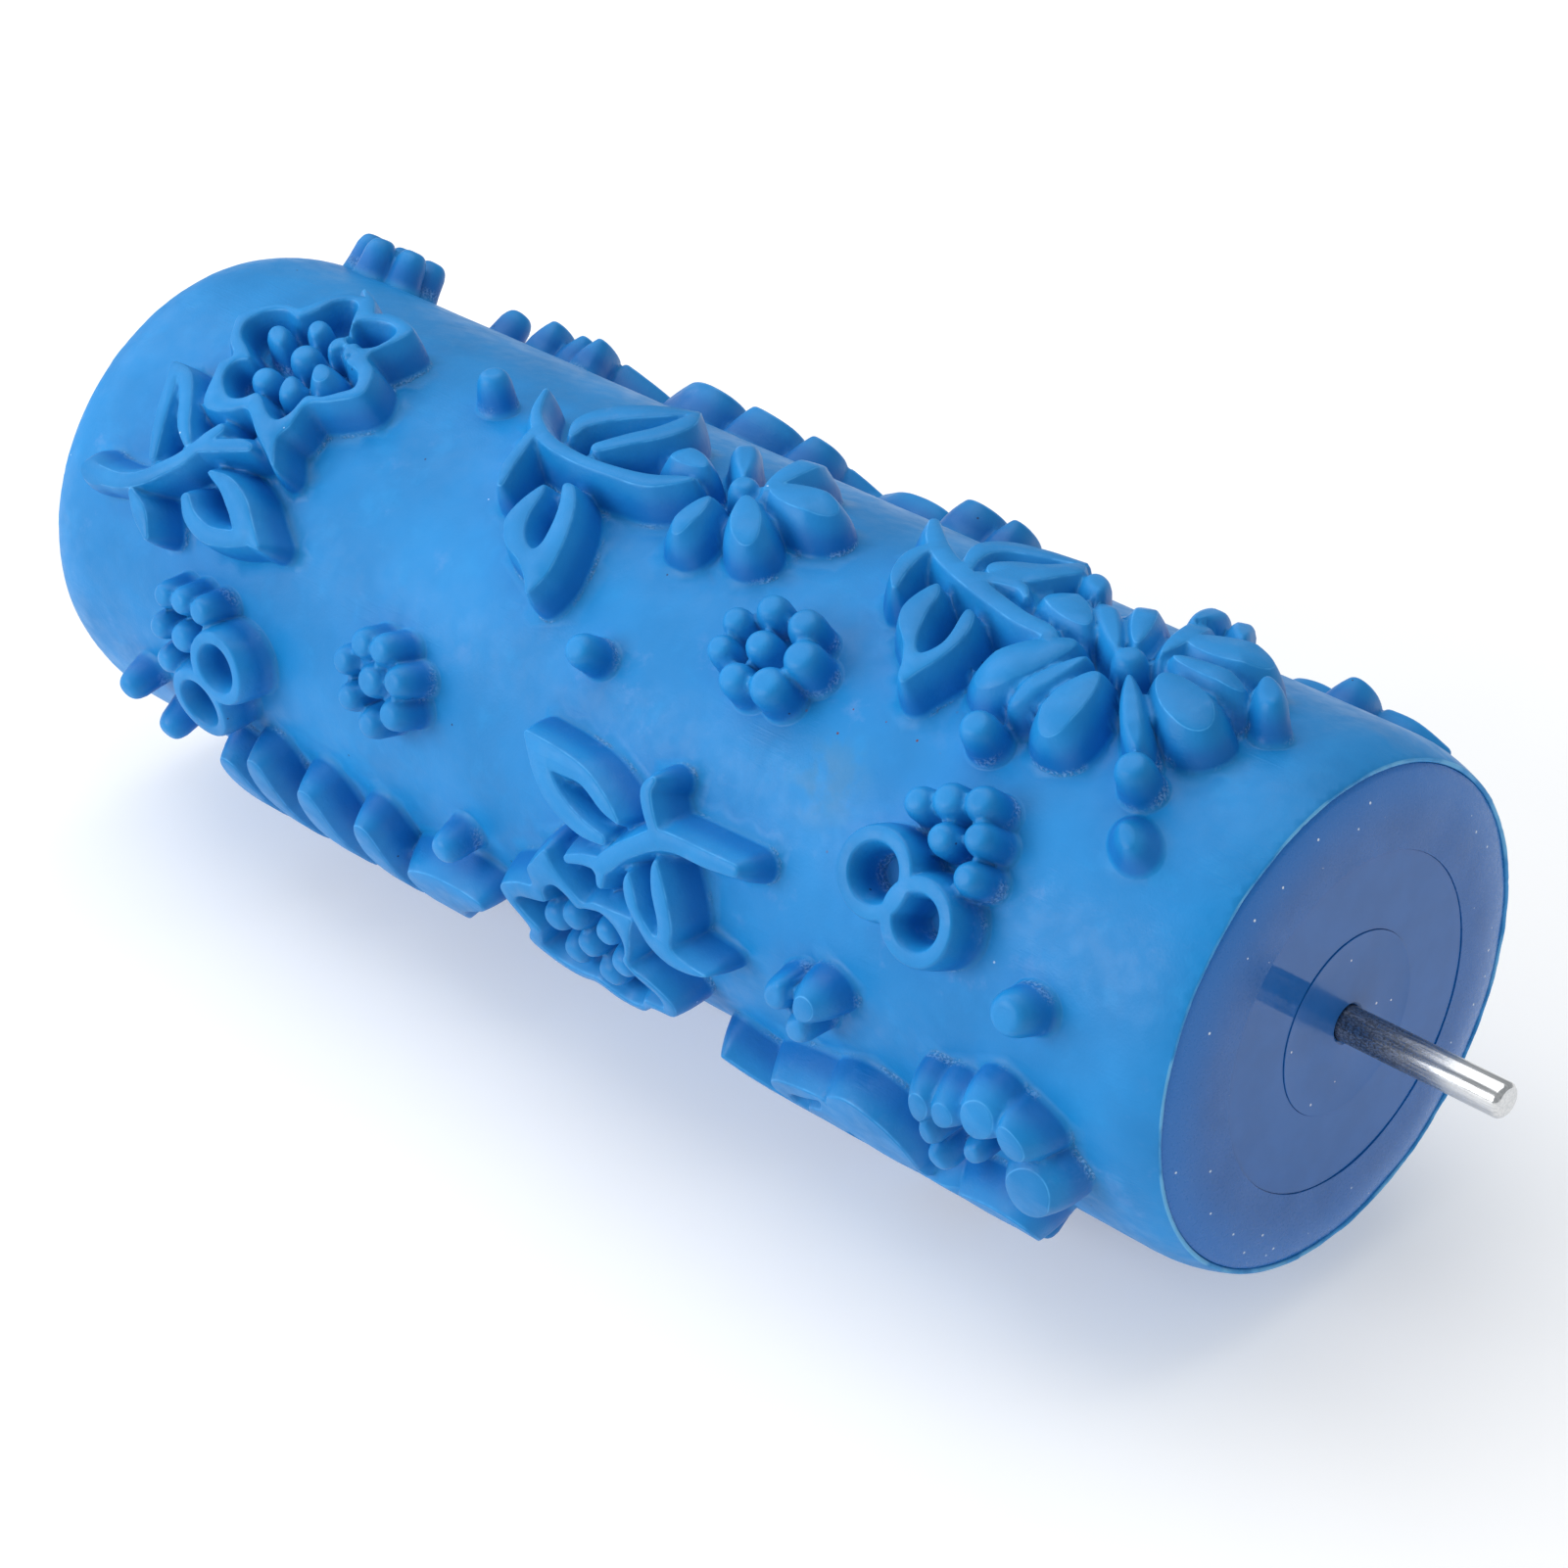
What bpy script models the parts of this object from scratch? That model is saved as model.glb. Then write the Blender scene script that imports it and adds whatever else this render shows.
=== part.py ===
"""Textured pattern roller: a rubber pattern sleeve on a plastic core that turns on a steel axle.

Blender 4.5, metres, +Z up. The origin is the middle of the roller on its axis, and +X runs along the
axle to the near end. Angles round the roller are measured from the top (+Z) towards the front (-Y).
"""
from math import cos, hypot, pi, radians, sin

import bmesh
import bpy
import numpy as np
from mathutils import Vector
from mathutils.geometry import delaunay_2d_cdt

MM = 0.001

# Driving dimensions, in millimetres
ROLLER_LENGTH = 180.0      # over the two end faces
AXLE_LENGTH = 220.0        # 20 mm stands out at each end
AXLE_RADIUS = 2.0
RUBBER_RADIUS = 30.0       # the plain ground between the raised motifs
RELIEF_HEIGHT = 5.0        # how far the motifs stand up
LOW_RELIEF_HEIGHT = 3.0
RIM_DROP = 1.2             # the rubber rim lies this far behind the end face
RIM_RADIUS = 28.8
RIM_ROUNDING = 6.0         # length over which the ground curves down to the rim
BORE_RADIUS = 26.0         # the rubber on its core tube
RECESS_RADIUS = 28.2       # the rubber lip round the end cap
TUBE_WALL = 2.4
CAP_RADIUS = 27.9
CAP_THICKNESS = 4.0
HUB_RADIUS = 19.2
BUSH_RADIUS = 10.4
SEAM = 0.1                 # between pieces that are pressed together
GAP = 0.3                  # between pieces that only meet
AXLE_CLEARANCE = 0.1
WALL_DRAFT = 0.7           # how far a motif's wall leans out from top to foot

SEGMENTS = 48              # sides of every large round piece
SMALL_SEGMENTS = 32
GRID = 0.8                 # spacing at which the pattern is sampled
OUTLINE_TOLERANCE = 0.32    # how closely a motif's corners follow its curve
SMALLEST_LOOP = 1.6        # nicks and islands smaller than this are left out
SEAM_ANGLE = 188.0         # the pattern's closing line, where no motif lies

RIM_X = ROLLER_LENGTH / 2 - RIM_DROP
TOP_RADIUS = RUBBER_RADIUS + RELIEF_HEIGHT
MM_PER_DEGREE = TOP_RADIUS * pi / 180
RECESS_X = ROLLER_LENGTH / 2 - CAP_THICKNESS - GAP
TUBE_RADIUS = BORE_RADIUS - SEAM

BLUE_RUBBER = (0.035, 0.260, 0.680)
SLATE_PLASTIC = (0.105, 0.180, 0.420)
GREY_PLASTIC = (0.550, 0.560, 0.580)
ZINC_STEEL = (0.720, 0.730, 0.740)

# The relief, as (mm along the roller, degrees round it):
#   outline, hole: a smooth closed curve through the points; a hole is sunk into what comes before it
#   stroke: a line of (x, angle, width)          petal: an oval (x, angle, length, width, turn)
#   dot: (x, angle, radius)                      ring: (x, angle, outer radius, inner radius)
#   low: a shallow bump (x, angle, length, width)
MOTIFS = {
    "wild_rose": [
        ("outline", [(-70.2, 21.5), (-68.8, 17), (-66.5, 14.2), (-64, 13.4), (-63.1, 8.5), (-62, 4.8),
                      (-59.7, 3), (-57.3, 4.6), (-55.6, 6.6), (-53.8, 4.7), (-51.2, 4.6), (-48.4, 6.4),
                      (-48.2, 11), (-49.2, 17.2), (-46.2, 20.2), (-44.7, 25.8), (-47.6, 30),
                      (-50.6, 32.8), (-50.6, 38), (-51.2, 41.5), (-49.2, 47), (-52.2, 44.4), (-55, 42),
                      (-58.2, 38.8), (-60.2, 40.6), (-62.8, 42), (-65, 41.4), (-66.2, 36),
                      (-66.8, 32.4), (-66, 29.8), (-68, 27.5), (-69.2, 24.8)]),
        ("hole", [(-68.2, 21.6), (-67.2, 17.8), (-65.2, 15.8), (-62.7, 16.1), (-61.7, 12), (-61.4, 8),
                   (-60.1, 5.8), (-58.5, 6.6), (-57, 10), (-55.2, 14), (-54.6, 17.3), (-51.6, 18.6),
                   (-51, 20.8), (-48.3, 22), (-46.8, 25), (-48, 27.4), (-49.7, 29.7), (-51.8, 31),
                   (-52.1, 35.4), (-53.1, 37.7), (-54.8, 37.6), (-56.8, 35.8), (-58.6, 34.6),
                   (-60, 36.8), (-61.8, 37.8), (-63.5, 36.6), (-64.8, 34.2), (-64.7, 31), (-63.2, 29),
                   (-65, 27), (-67.3, 24.9)]),
        ("hole", [(-55.7, 11.2), (-54.2, 8.6), (-52.2, 7.6), (-50.2, 8.6), (-49.5, 11.4), (-50, 14.9),
                   (-51.8, 16.4), (-54, 16)]),
        ("stroke", [(-61.2, 1, 0.7), (-58.4, 3.4, 1.3), (-55.8, 6.8, 1)]),
        ("petal", (-59.2, 16.4, 3.4, 2.3, 52)),
        ("petal", (-62.8, 21.7, 4, 2.4, 30)),
        ("dot", (-57.4, 23, 1.75)),
        ("petal", (-52.6, 25.4, 4, 3, 35)),
        ("dot", (-59.7, 31.2, 1.6)),
        ("petal", (-55.2, 30.8, 3.6, 2.6, 55)),
        ("petal", (-54.6, 18, 2.8, 1.9, 80)),
        ("petal", (-52.2, 17.8, 2.6, 1.7, 70)),
    ],
    "rose_stem": [
        ("petal", (-77, 63.4, 5.4, 3.2, 4)),
        ("stroke", [(-77, 63.2, 2.6), (-72.5, 62.4, 2.2), (-68.8, 59.9, 2), (-66, 56.4, 2),
                     (-63.9, 53.4, 2), (-62.2, 49.6, 1.9), (-61.3, 47, 1.8), (-60.2, 44.3, 1.5)]),
        ("stroke", [(-62.4, 49.8, 1.6), (-58.8, 47.3, 1.9), (-56, 45.6, 1.9), (-54.6, 45.2, 1.3)]),
        ("stroke", [(-73, 36.9, 1), (-70.2, 38.1, 2.2), (-67.8, 42, 2.2), (-65.9, 46.6, 2.1),
                     (-64, 49.4, 1.5)]),
        ("stroke", [(-73, 36.9, 1), (-71.3, 41, 2), (-70.2, 46, 2.1), (-69.1, 51, 1.9), (-68.2, 55, 1.4)]),
        ("stroke", [(-58.4, 52.9, 0.8), (-55.2, 53.6, 2.3), (-52, 56.3, 3.3), (-49.6, 59.6, 3.2),
                     (-46.6, 61.6, 1)]),
        ("stroke", [(-60.5, 59.6, 1.7), (-58.8, 62.4, 2.2), (-55.6, 64, 2.4), (-52.4, 63.2, 2.4),
                     (-49, 61.4, 2)]),
        ("stroke", [(-69.6, 63.3, 1.2), (-67.2, 66.4, 2.5), (-65.2, 70, 1.2)]),
    ],
    "leafy_branch": [
        ("stroke", [(-25.4, 6.6, 0.9), (-23.2, 12.6, 1.5), (-20.4, 16.3, 1.9), (-17, 18.2, 1.9),
                     (-12, 18.8, 1.8), (-7, 18.2, 1.9), (-2.4, 16.8, 2.4), (0.4, 14, 1.8),
                     (1.8, 12.2, 0.9)]),
        ("stroke", [(-20.6, 17.5, 1.7), (-20, 22, 1.7), (-19.3, 26.8, 1.8), (-18.4, 30.4, 1.1)]),
        ("stroke", [(-8.5, -6.2, 1), (-11.8, -1.2, 3.1), (-15.1, 4.6, 3.4), (-16.8, 10.2, 2.6),
                     (-16.2, 14.4, 1)]),
        ("stroke", [(-8.5, -6.2, 1), (-7.4, -0.5, 2.9), (-8, 5, 2.9), (-9.9, 10, 2.5), (-11.8, 14.4, 2)]),
        ("outline", [(-13.3, 26.7), (-14.3, 31), (-14.6, 35.5), (-13.9, 38), (-12.2, 40.8),
                      (-9.3, 42.5), (-7.2, 45), (-5.7, 47.3), (-4.7, 44), (-4.5, 40.5), (-5.2, 35),
                      (-6.5, 30), (-8.2, 26.3), (-10, 24.2), (-11.2, 25.2), (-9.8, 28.5), (-8.6, 32.5),
                      (-8, 37), (-8.6, 39), (-10.5, 37.3), (-11.8, 33.5), (-12.3, 28.5)]),
    ],
    "daisy": [
        ("dot", (7.1, 7.7, 1.6)),
        ("petal", (-1.4, 7.4, 6.6, 3.9, 5)),
        ("petal", (3, 0.2, 10, 2.9, 48)),
        ("petal", (9.6, -1.6, 12, 3.6, 84)),
        ("petal", (14.6, 4.8, 9.8, 5.4, -8)),
        ("petal", (12, 15.3, 9, 4.3, 46)),
        ("petal", (5.9, 19.4, 7.2, 3.3, 90)),
        ("dot", (4, 51.8, 1.8)),
        ("dot", (-33.4, 8.3, 1.8)),
    ],
    "big_flower": [
        ("dot", (62.6, 7.7, 1.7)),
        ("petal", (71.8, 12, 10.4, 5.6, 24)),
        ("petal", (70.8, 3.2, 9.8, 3.2, -4)),
        ("petal", (69.4, -5.4, 10.4, 6.2, -22)),
        ("petal", (64.3, -4, 11.4, 3.1, 80)),
        ("petal", (59.2, -2.6, 11.4, 3.4, 58)),
        ("petal", (56.8, 1.6, 12.4, 2.6, 42)),
        ("petal", (51.8, 2.5, 9.6, 4.8, 24)),
        ("petal", (50, -8.3, 5.4, 2.8, 45)),
        ("petal", (53.6, 17.8, 12, 5.2, 122)),
        ("petal", (57.7, 19.6, 10, 2.7, 110)),
        ("petal", (61.9, 22, 10.2, 5, 90)),
        ("petal", (68.2, 18, 10.4, 2.3, 47)),
        ("petal", (77.6, 1, 6, 2.8, 45)),
        ("petal", (61.8, -15.6, 8.4, 2.9, 80)),
        ("petal", (66.4, -15.2, 7, 2.4, 55)),
        ("dot", (54.6, 33.2, 1.9)),
        ("dot", (73, 28, 1.9)),
        ("low", (76.1, 38.6, 5.4, 3.8)),
    ],
    "flower_stem": [
        ("stroke", [(28.6, -4.8, 1.5), (31.5, 0, 2.4), (35, 3.8, 2.6), (39, 6.2, 2.6), (44, 8.5, 2.4),
                     (49, 10.3, 2.3), (53, 10.8, 2.1), (55.3, 12.8, 1)]),
        ("stroke", [(40.5, 5, 2), (43, 3.4, 1.8), (45.3, 3, 1.6), (47, 4.8, 0.8)]),
        ("stroke", [(32.6, 2, 1.4), (32.2, 7, 2.2), (33, 12, 2), (34.3, 15.5, 1)]),
        ("outline", [(37.9, 10.8), (37.1, 14.5), (37.1, 19), (38.4, 22.4), (40.5, 25.2), (42, 28.2),
                      (43, 31.5), (44.2, 32.4), (45, 29.5), (46, 25.5), (46.4, 21), (46, 17),
                      (44.8, 13.8), (43.5, 13.4), (43.6, 15.5), (44.4, 19.5), (44.5, 22.8),
                      (43.4, 25.7), (42, 23.8), (40.3, 18), (39.4, 13)]),
        ("outline", [(39.5, 0), (41, -3.2), (43.3, -6), (44.6, -9.5), (45.6, -13.5), (47.6, -9.5),
                      (47, -5), (46, -0.5), (44.5, 2), (41.5, 3.5), (40, 2.5)]),
        ("stroke", [(46, -13, 1), (42, -10.4, 2.4), (38.5, -7.5, 2.8), (36.8, -3.5, 2.8), (37.4, 1, 2),
                     (38.5, 3.8, 1.2)]),
    ],
    "ring_pair_far": [
        ("ring", (-50.8, 89.5, 4.7, 3.1)),
        ("ring", (-55.2, 100.5, 4.8, 3.2)),
        ("dot", (-61.2, 80.2, 1.5)),
        ("dot", (-58, 79.6, 1.6)),
        ("dot", (-54.4, 79.6, 1.7)),
        ("dot", (-57.6, 87.4, 1.8)),
        ("dot", (-61.8, 87.4, 1.5)),
        ("dot", (-61, 94.6, 1.6)),
    ],
    "berries_far": [
        ("dot", (-24.2, 75.6, 1.9)),
        ("dot", (-26.6, 69.4, 1.7)),
        ("dot", (-23.4, 68.8, 1.75)),
        ("dot", (-20.2, 73.4, 1.75)),
        ("dot", (-20.2, 80.2, 1.8)),
        ("dot", (-23.6, 84.2, 1.7)),
        ("dot", (-27.4, 80.9, 1.6)),
        ("dot", (-29, 74.3, 1.6)),
    ],
    "berries_mid": [
        ("dot", (23.6, 29.6, 1.75)),
        ("dot", (20.7, 34.5, 1.5)),
        ("dot", (21.1, 40.4, 1.5)),
        ("dot", (25.3, 36.6, 1.7)),
        ("dot", (24.7, 44.2, 1.75)),
        ("dot", (28.4, 29.6, 1.9)),
        ("dot", (30.8, 35.5, 2.1)),
        ("dot", (29, 42.7, 2.1)),
    ],
    "ring_pair_near": [
        ("ring", (52.2, 63.5, 5, 3.2)),
        ("ring", (59.1, 67.8, 4.8, 3)),
        ("dot", (53.4, 49.4, 1.6)),
        ("dot", (56.6, 46.8, 1.8)),
        ("dot", (60.2, 44.8, 1.8)),
        ("dot", (62, 50.4, 1.6)),
        ("dot", (62.8, 57.3, 1.6)),
        ("dot", (58, 53.2, 1.6)),
        ("dot", (72.6, 75.3, 2.3)),
    ],
    "three_petal_bud": [
        ("petal", (41.2, 94.9, 4.6, 2.9, 118)),
        ("petal", (45.6, 94.3, 4.8, 3.6, 122)),
        ("petal", (44, 100.5, 4.4, 2.8, 125)),
    ],
    "split_bud": [
        ("petal", (69.8, 98.2, 6.4, 5, 118)),
        ("petal", (74.4, 99, 5.2, 4.4, 60)),
        ("petal", (64.8, 101.5, 5, 3.6, 118)),
        ("petal", (61.4, 102.6, 5.2, 3.4, 105)),
        ("petal", (75.2, 111.2, 9.6, 6.4, 116)),
        ("petal", (68.2, 107.7, 3.6, 2.2, 120)),
        ("petal", (61.7, 108.7, 3.8, 2.2, 95)),
        ("petal", (61.6, 116.8, 3.8, 2.8, 95)),
    ],
    "vine": [
        ("stroke", [(1.6, 69.9, 1.1), (6, 71.6, 2.9), (11, 72.2, 2.2), (14.8, 75.2, 2), (17, 77, 0.8)]),
        ("stroke", [(1.6, 69.9, 1.1), (4.6, 74.6, 2.8), (7.5, 78.8, 2.8), (11.5, 81.4, 2.4),
                     (15, 81.8, 1.6)]),
        ("stroke", [(34.4, 74.8, 1.8), (30, 75.4, 2.2), (26, 75.6, 2.2), (23, 76.6, 2.6),
                     (20.5, 79.2, 2.4), (18, 82.3, 2.4), (15.8, 86, 2.5), (14.8, 88, 2)]),
        ("stroke", [(14.5, 87, 2), (12.2, 87.8, 1.6), (9.8, 89.4, 1.3)]),
        ("stroke", [(15.2, 87.5, 2), (15, 91, 1.3)]),
        ("stroke", [(22.6, 75.5, 1.6), (21, 72, 1.8), (20.2, 69, 1.8), (20.8, 66.8, 1.2)]),
        ("outline", [(19.3, 85.3), (18.6, 88), (19, 92), (20.5, 95.8), (22.3, 99.2), (25.2, 101.3),
                      (28.5, 100.8), (31.3, 98.8), (28.5, 98.2), (26, 96.8), (26.3, 92), (25.8, 87.5),
                      (24.6, 82.8), (23.4, 80), (22.7, 82), (22.9, 86.5), (23.8, 92), (23.5, 95.6),
                      (22.2, 94.4), (21, 91.5), (20.2, 87)]),
        ("dot", (-13, 105.5, 1.8)),
    ],
    "low_rose": [
        ("outline", [(6.3, 89.6), (4, 93.8), (3, 96.2), (3.4, 99.4), (0.6, 101), (-2.6, 104.4),
                      (-2.2, 108), (0, 113.4), (-1.8, 119.4), (0.6, 124.2), (4.6, 125.6), (8.6, 122.8),
                      (11.4, 125), (15.4, 124.4), (18.2, 120), (22.2, 118.4), (23.4, 113.4),
                      (20.6, 109.2), (18, 107.6), (18.8, 102.6), (19.4, 98), (19.8, 94.8),
                      (16.6, 95.2), (13.6, 95.8), (11.8, 97), (9.2, 94.6), (7.5, 92.2)]),
        ("hole", [(5.4, 102.4), (5.3, 100.2), (6, 98.2), (7.5, 97), (9.2, 97.8), (10.8, 99.6),
                   (12.4, 98.6), (14.8, 97.7), (16.7, 99), (17.6, 101.6), (17.4, 104.6), (16.7, 107.5),
                   (18.4, 110.2), (21, 113), (20.6, 116.6), (17.6, 117.6), (16, 121), (13.6, 122.6),
                   (11.4, 121.2), (9.2, 119.8), (6.4, 121.4), (3, 121.8), (0.8, 119.4), (1.6, 115.4),
                   (2.2, 112.4), (0.6, 109.6), (-0.4, 107), (0.8, 105), (3, 103.8)]),
        ("dot", (9.1, 103.9, 1.7)),
        ("dot", (5.7, 106.9, 1.8)),
        ("dot", (14.4, 103.3, 1.5)),
        ("dot", (10.2, 110.3, 1.6)),
        ("dot", (6.7, 115.7, 1.7)),
        ("dot", (15.6, 110.6, 1.7)),
        ("dot", (12.2, 116.6, 1.8)),
    ],
    "strays": [
        ("dot", (-65.2, -53.5, 1.9)),
        ("petal", (-57.2, -53.5, 7.5, 3.4, 78)), ("petal", (-52.8, -54.5, 6, 3, 80)),
        ("petal", (-48.8, -52.5, 7.5, 3, 76)),
        ("stroke", [(-47, -57, 1.8), (-43.5, -61, 2), (-38.5, -67, 1.4)]),
        ("outline", [(-38, -60), (-35, -52.5), (-31.5, -47.5), (-28, -45.5), (-25.6, -48), (-25, -54),
                      (-27, -60), (-32, -64)]),
        ("outline", [(-23.4, -58), (-23.2, -51), (-21.4, -47), (-18.5, -48), (-16.2, -52), (-16, -58),
                      (-19, -62)]),
        ("outline", [(-14.4, -58), (-14.2, -53), (-12.4, -49.5), (-10, -52), (-9.4, -57), (-11, -62)]),
        ("stroke", [(-9.4, -60, 1.8), (-7.5, -62.5, 1.8), (-4, -67, 1.4)]),
        ("outline", [(-6, -65), (-3, -60.5), (0, -58), (3.5, -57.5), (6, -59), (6.4, -61.5), (4, -66),
                      (-1, -69)]),
        ("petal", (14.2, -54, 8.5, 6.2, 90)), ("petal", (20, -54, 7, 3.4, 90)),
        ("petal", (59.5, -65.5, 7, 3.4, 10)), ("petal", (67, -61, 8.4, 4.6, 84)),
        ("stroke", [(70.5, -63.5, 2.8), (73.5, -64, 3.2), (77, -66.5, 1.8)]),
        ("dot", (-71.6, 109.5, 1.8)), ("dot", (-67.1, 118.4, 1.8)),
        ("stroke", [(-54.9, 118, 3.4), (-55.1, 121, 4.6), (-55.4, 128, 4.8), (-55.6, 140, 3)]),
        ("stroke", [(-48, 112.5, 3.2), (-48.2, 116, 4.2), (-48.4, 125, 4.4), (-48.6, 140, 3)]),
        ("stroke", [(-38.8, 113.5, 3.4), (-39, 117, 4.6), (-39.4, 126, 5), (-39.8, 140, 3)]),
        ("stroke", [(-29, 114.5, 3.2), (-29.2, 118, 4.4), (-29.6, 125, 4.8), (-30, 138, 3)]),
        ("outline", [(-24, 122), (-20.5, 117.5), (-15, 115), (-9.5, 115.5), (-9, 118.5), (-11.5, 122),
                      (-15.5, 127), (-19, 134), (-21, 140), (-24.5, 140), (-25, 131)]),
        ("outline", [(44.8, 120), (46.2, 115), (49.5, 112.4), (53.5, 114), (56, 119), (56.4, 125),
                      (55, 132), (50, 135), (46, 132), (44.4, 126)]),
        ("outline", [(60, 132), (63, 128), (67, 125.5), (70.5, 126.5), (71.6, 130), (70.5, 136),
                      (67, 141), (61, 141)]),
    ],
}

# How the motifs repeat round the sleeve: (motif, shift along, turn, 1 as drawn or -1 end for end)
LAYOUT = [
    ("wild_rose", 0, 0, 1), ("rose_stem", 0, 0, 1), ("leafy_branch", 0, 0, 1), ("daisy", 0, 0, 1),
    ("big_flower", 0, 0, 1), ("flower_stem", 0, 0, 1), ("ring_pair_far", 0, 0, 1),
    ("berries_far", 0, 0, 1), ("berries_mid", 0, 0, 1), ("ring_pair_near", 0, 0, 1),
    ("three_petal_bud", 0, 0, 1), ("split_bud", 0, 0, 1), ("vine", 0, 0, 1), ("low_rose", 0, 0, 1),
    ("strays", 0, 0, 1),
    ("berries_far", -55.6, -115, 1), ("berries_far", 6, 90, 1), ("berries_far", -6, -215, 1),
    ("berries_far", -45, -234, 1), ("big_flower", -12, 142, 1), ("flower_stem", -1.2, 131, 1),
    ("three_petal_bud", -84, 66, 1), ("three_petal_bud", -38, 76, 1),
    ("leafy_branch", -30, -122, -1), ("daisy", -30, -122, -1),
    ("ring_pair_near", 78, -151, -1), ("berries_mid", -41, -128, -1), ("ring_pair_far", 122, -184, 1),
    ("three_petal_bud", 7, -186, 1), ("vine", 44, -234, 1), ("low_rose", 44, -234, 1),
    ("split_bud", -139, -247, 1), ("ring_pair_near", -62, -202, 1), ("three_petal_bud", -15, -234, 1),
]


def material(name, colour, roughness, metallic=0.0):
    made = bpy.data.materials.new(name)
    made.use_nodes = True
    shader = made.node_tree.nodes["Principled BSDF"]
    shader.inputs["Base Color"].default_value = (*colour, 1.0)
    shader.inputs["Roughness"].default_value = roughness
    shader.inputs["Metallic"].default_value = metallic
    return made


def clear_scene():
    for old in list(bpy.data.objects):
        bpy.data.objects.remove(old, do_unlink=True)
    for old in list(bpy.data.meshes):
        bpy.data.meshes.remove(old)


def new_collection(name):
    made = bpy.data.collections.new(name)
    bpy.context.scene.collection.children.link(made)
    return made


def add_object(name, mesh, collection, parent=None, surface=None):
    made = bpy.data.objects.new(name, mesh)
    collection.objects.link(made)
    made.parent = parent
    if surface:
        mesh.materials.append(surface)
    return made


def turned(name, profile, collection, parent=None, surface=None, segments=SEGMENTS, side=1):
    """A piece turned about X. profile is a closed section of (x, radius), outer side first from high x
    to low x; a radius of 0 lies on the axis. side -1 mirrors the piece to the far end."""
    mesh = bpy.data.meshes.new(name)
    points = [(radius * MM, 0.0, x * MM) for x, radius in profile]
    edges = [(i, (i + 1) % len(points)) for i in range(len(points))]
    if profile[0][1] == 0 and profile[-1][1] == 0:
        edges.pop()
    mesh.from_pydata(points, edges, [])
    made = add_object(name, mesh, collection, parent, surface)
    made.rotation_euler = (0.0, side * pi / 2, 0.0)
    screw = made.modifiers.new("turn", "SCREW")
    screw.axis = "Z"
    screw.steps = screw.render_steps = segments
    screw.use_smooth_shade = True
    screw.use_merge_vertices = True
    screw.merge_threshold = 0.000001
    return made


def cut(target, cutter):
    boolean = target.modifiers.new("cut", "BOOLEAN")
    boolean.operation = "DIFFERENCE"
    boolean.object = cutter
    cutter.hide_render = True
    cutter.display_type = "WIRE"


# --- the pattern, unrolled: distances in mm on a sheet of (along, round) -------------------------

def smooth_curve(points, closed, steps=4):
    """Catmull-Rom curve through rows of numbers."""
    rows = np.array(points, float)
    count = len(rows)
    before = np.roll(rows, 1, 0) if closed else np.vstack([rows[:1], rows[:-1]])
    after = np.roll(rows, -1, 0) if closed else np.vstack([rows[1:], rows[-1:]])
    after2 = np.roll(rows, -2, 0) if closed else np.vstack([rows[2:], rows[-1:], rows[-1:]])
    curve = []
    for i in range(count if closed else count - 1):
        for t in np.arange(steps) / steps:
            curve.append(0.5 * (2 * rows[i] + (after[i] - before[i]) * t
                                + (2 * before[i] - 5 * rows[i] + 4 * after[i] - after2[i]) * t ** 2
                                + (3 * rows[i] - before[i] - 3 * after[i] + after2[i]) * t ** 3))
    if not closed:
        curve.append(rows[-1])
    return np.array(curve)


def closed_curve_distance(points, x, y):
    """Signed distance to a closed curve, negative inside."""
    ends = smooth_curve(points, closed=True)
    nearest = np.full(x.shape, 1e9)
    inside = np.zeros(x.shape, bool)
    for (ax, ay), (bx, by) in zip(ends, np.roll(ends, -1, 0)):
        along = ((x - ax) * (bx - ax) + (y - ay) * (by - ay)) / ((bx - ax) ** 2 + (by - ay) ** 2)
        along = np.clip(along, 0, 1)
        nearest = np.minimum(nearest, np.hypot(x - ax - along * (bx - ax), y - ay - along * (by - ay)))
        if ay != by:
            crosses = ((ay > y) != (by > y)) & (x < (bx - ax) * (y - ay) / (by - ay) + ax)
            inside ^= crosses
    return np.where(inside, -nearest, nearest)


def stroke_distance(points, x, y):
    ends = smooth_curve(points, closed=False)
    nearest = np.full(x.shape, 1e9)
    for (ax, ay, aw), (bx, by, bw) in zip(ends[:-1], ends[1:]):
        along = ((x - ax) * (bx - ax) + (y - ay) * (by - ay)) / ((bx - ax) ** 2 + (by - ay) ** 2)
        along = np.clip(along, 0, 1)
        away = np.hypot(x - ax - along * (bx - ax), y - ay - along * (by - ay))
        nearest = np.minimum(nearest, away - (aw + along * (bw - aw)) / 2)
    return nearest


def oval_distance(centre, length, width, turn, x, y):
    u = (x - centre[0]) * cos(turn) + (y - centre[1]) * sin(turn)
    v = (y - centre[1]) * cos(turn) - (x - centre[0]) * sin(turn)
    scaled = np.hypot(u / (length / 2), v / (width / 2))
    steep = np.hypot(u / (length / 2) ** 2, v / (width / 2) ** 2)
    return scaled * (scaled - 1) / np.maximum(steep, 1e-9)


def shape_distance(kind, values, place, x, y):
    """Distance to one shape, and whether it is sunk (a hole) or shallow."""
    shift, turn, flip = place

    def put(point):
        return (flip * point[0] + shift, (point[1] + turn) * MM_PER_DEGREE)

    if kind in ("outline", "hole"):
        return closed_curve_distance([put(p) for p in values], x, y)
    if kind == "stroke":
        return stroke_distance([(*put(p), p[2]) for p in values], x, y)
    centre = put(values)
    if kind == "petal":
        return oval_distance(centre, values[2], values[3], flip * radians(values[4]), x, y)
    if kind == "low":
        return oval_distance(centre, values[2], values[3], radians(45), x, y)
    away = np.hypot(x - centre[0], y - centre[1])
    if kind == "ring":
        return np.maximum(away - values[2], values[3] - away)
    return away - values[2]


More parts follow.
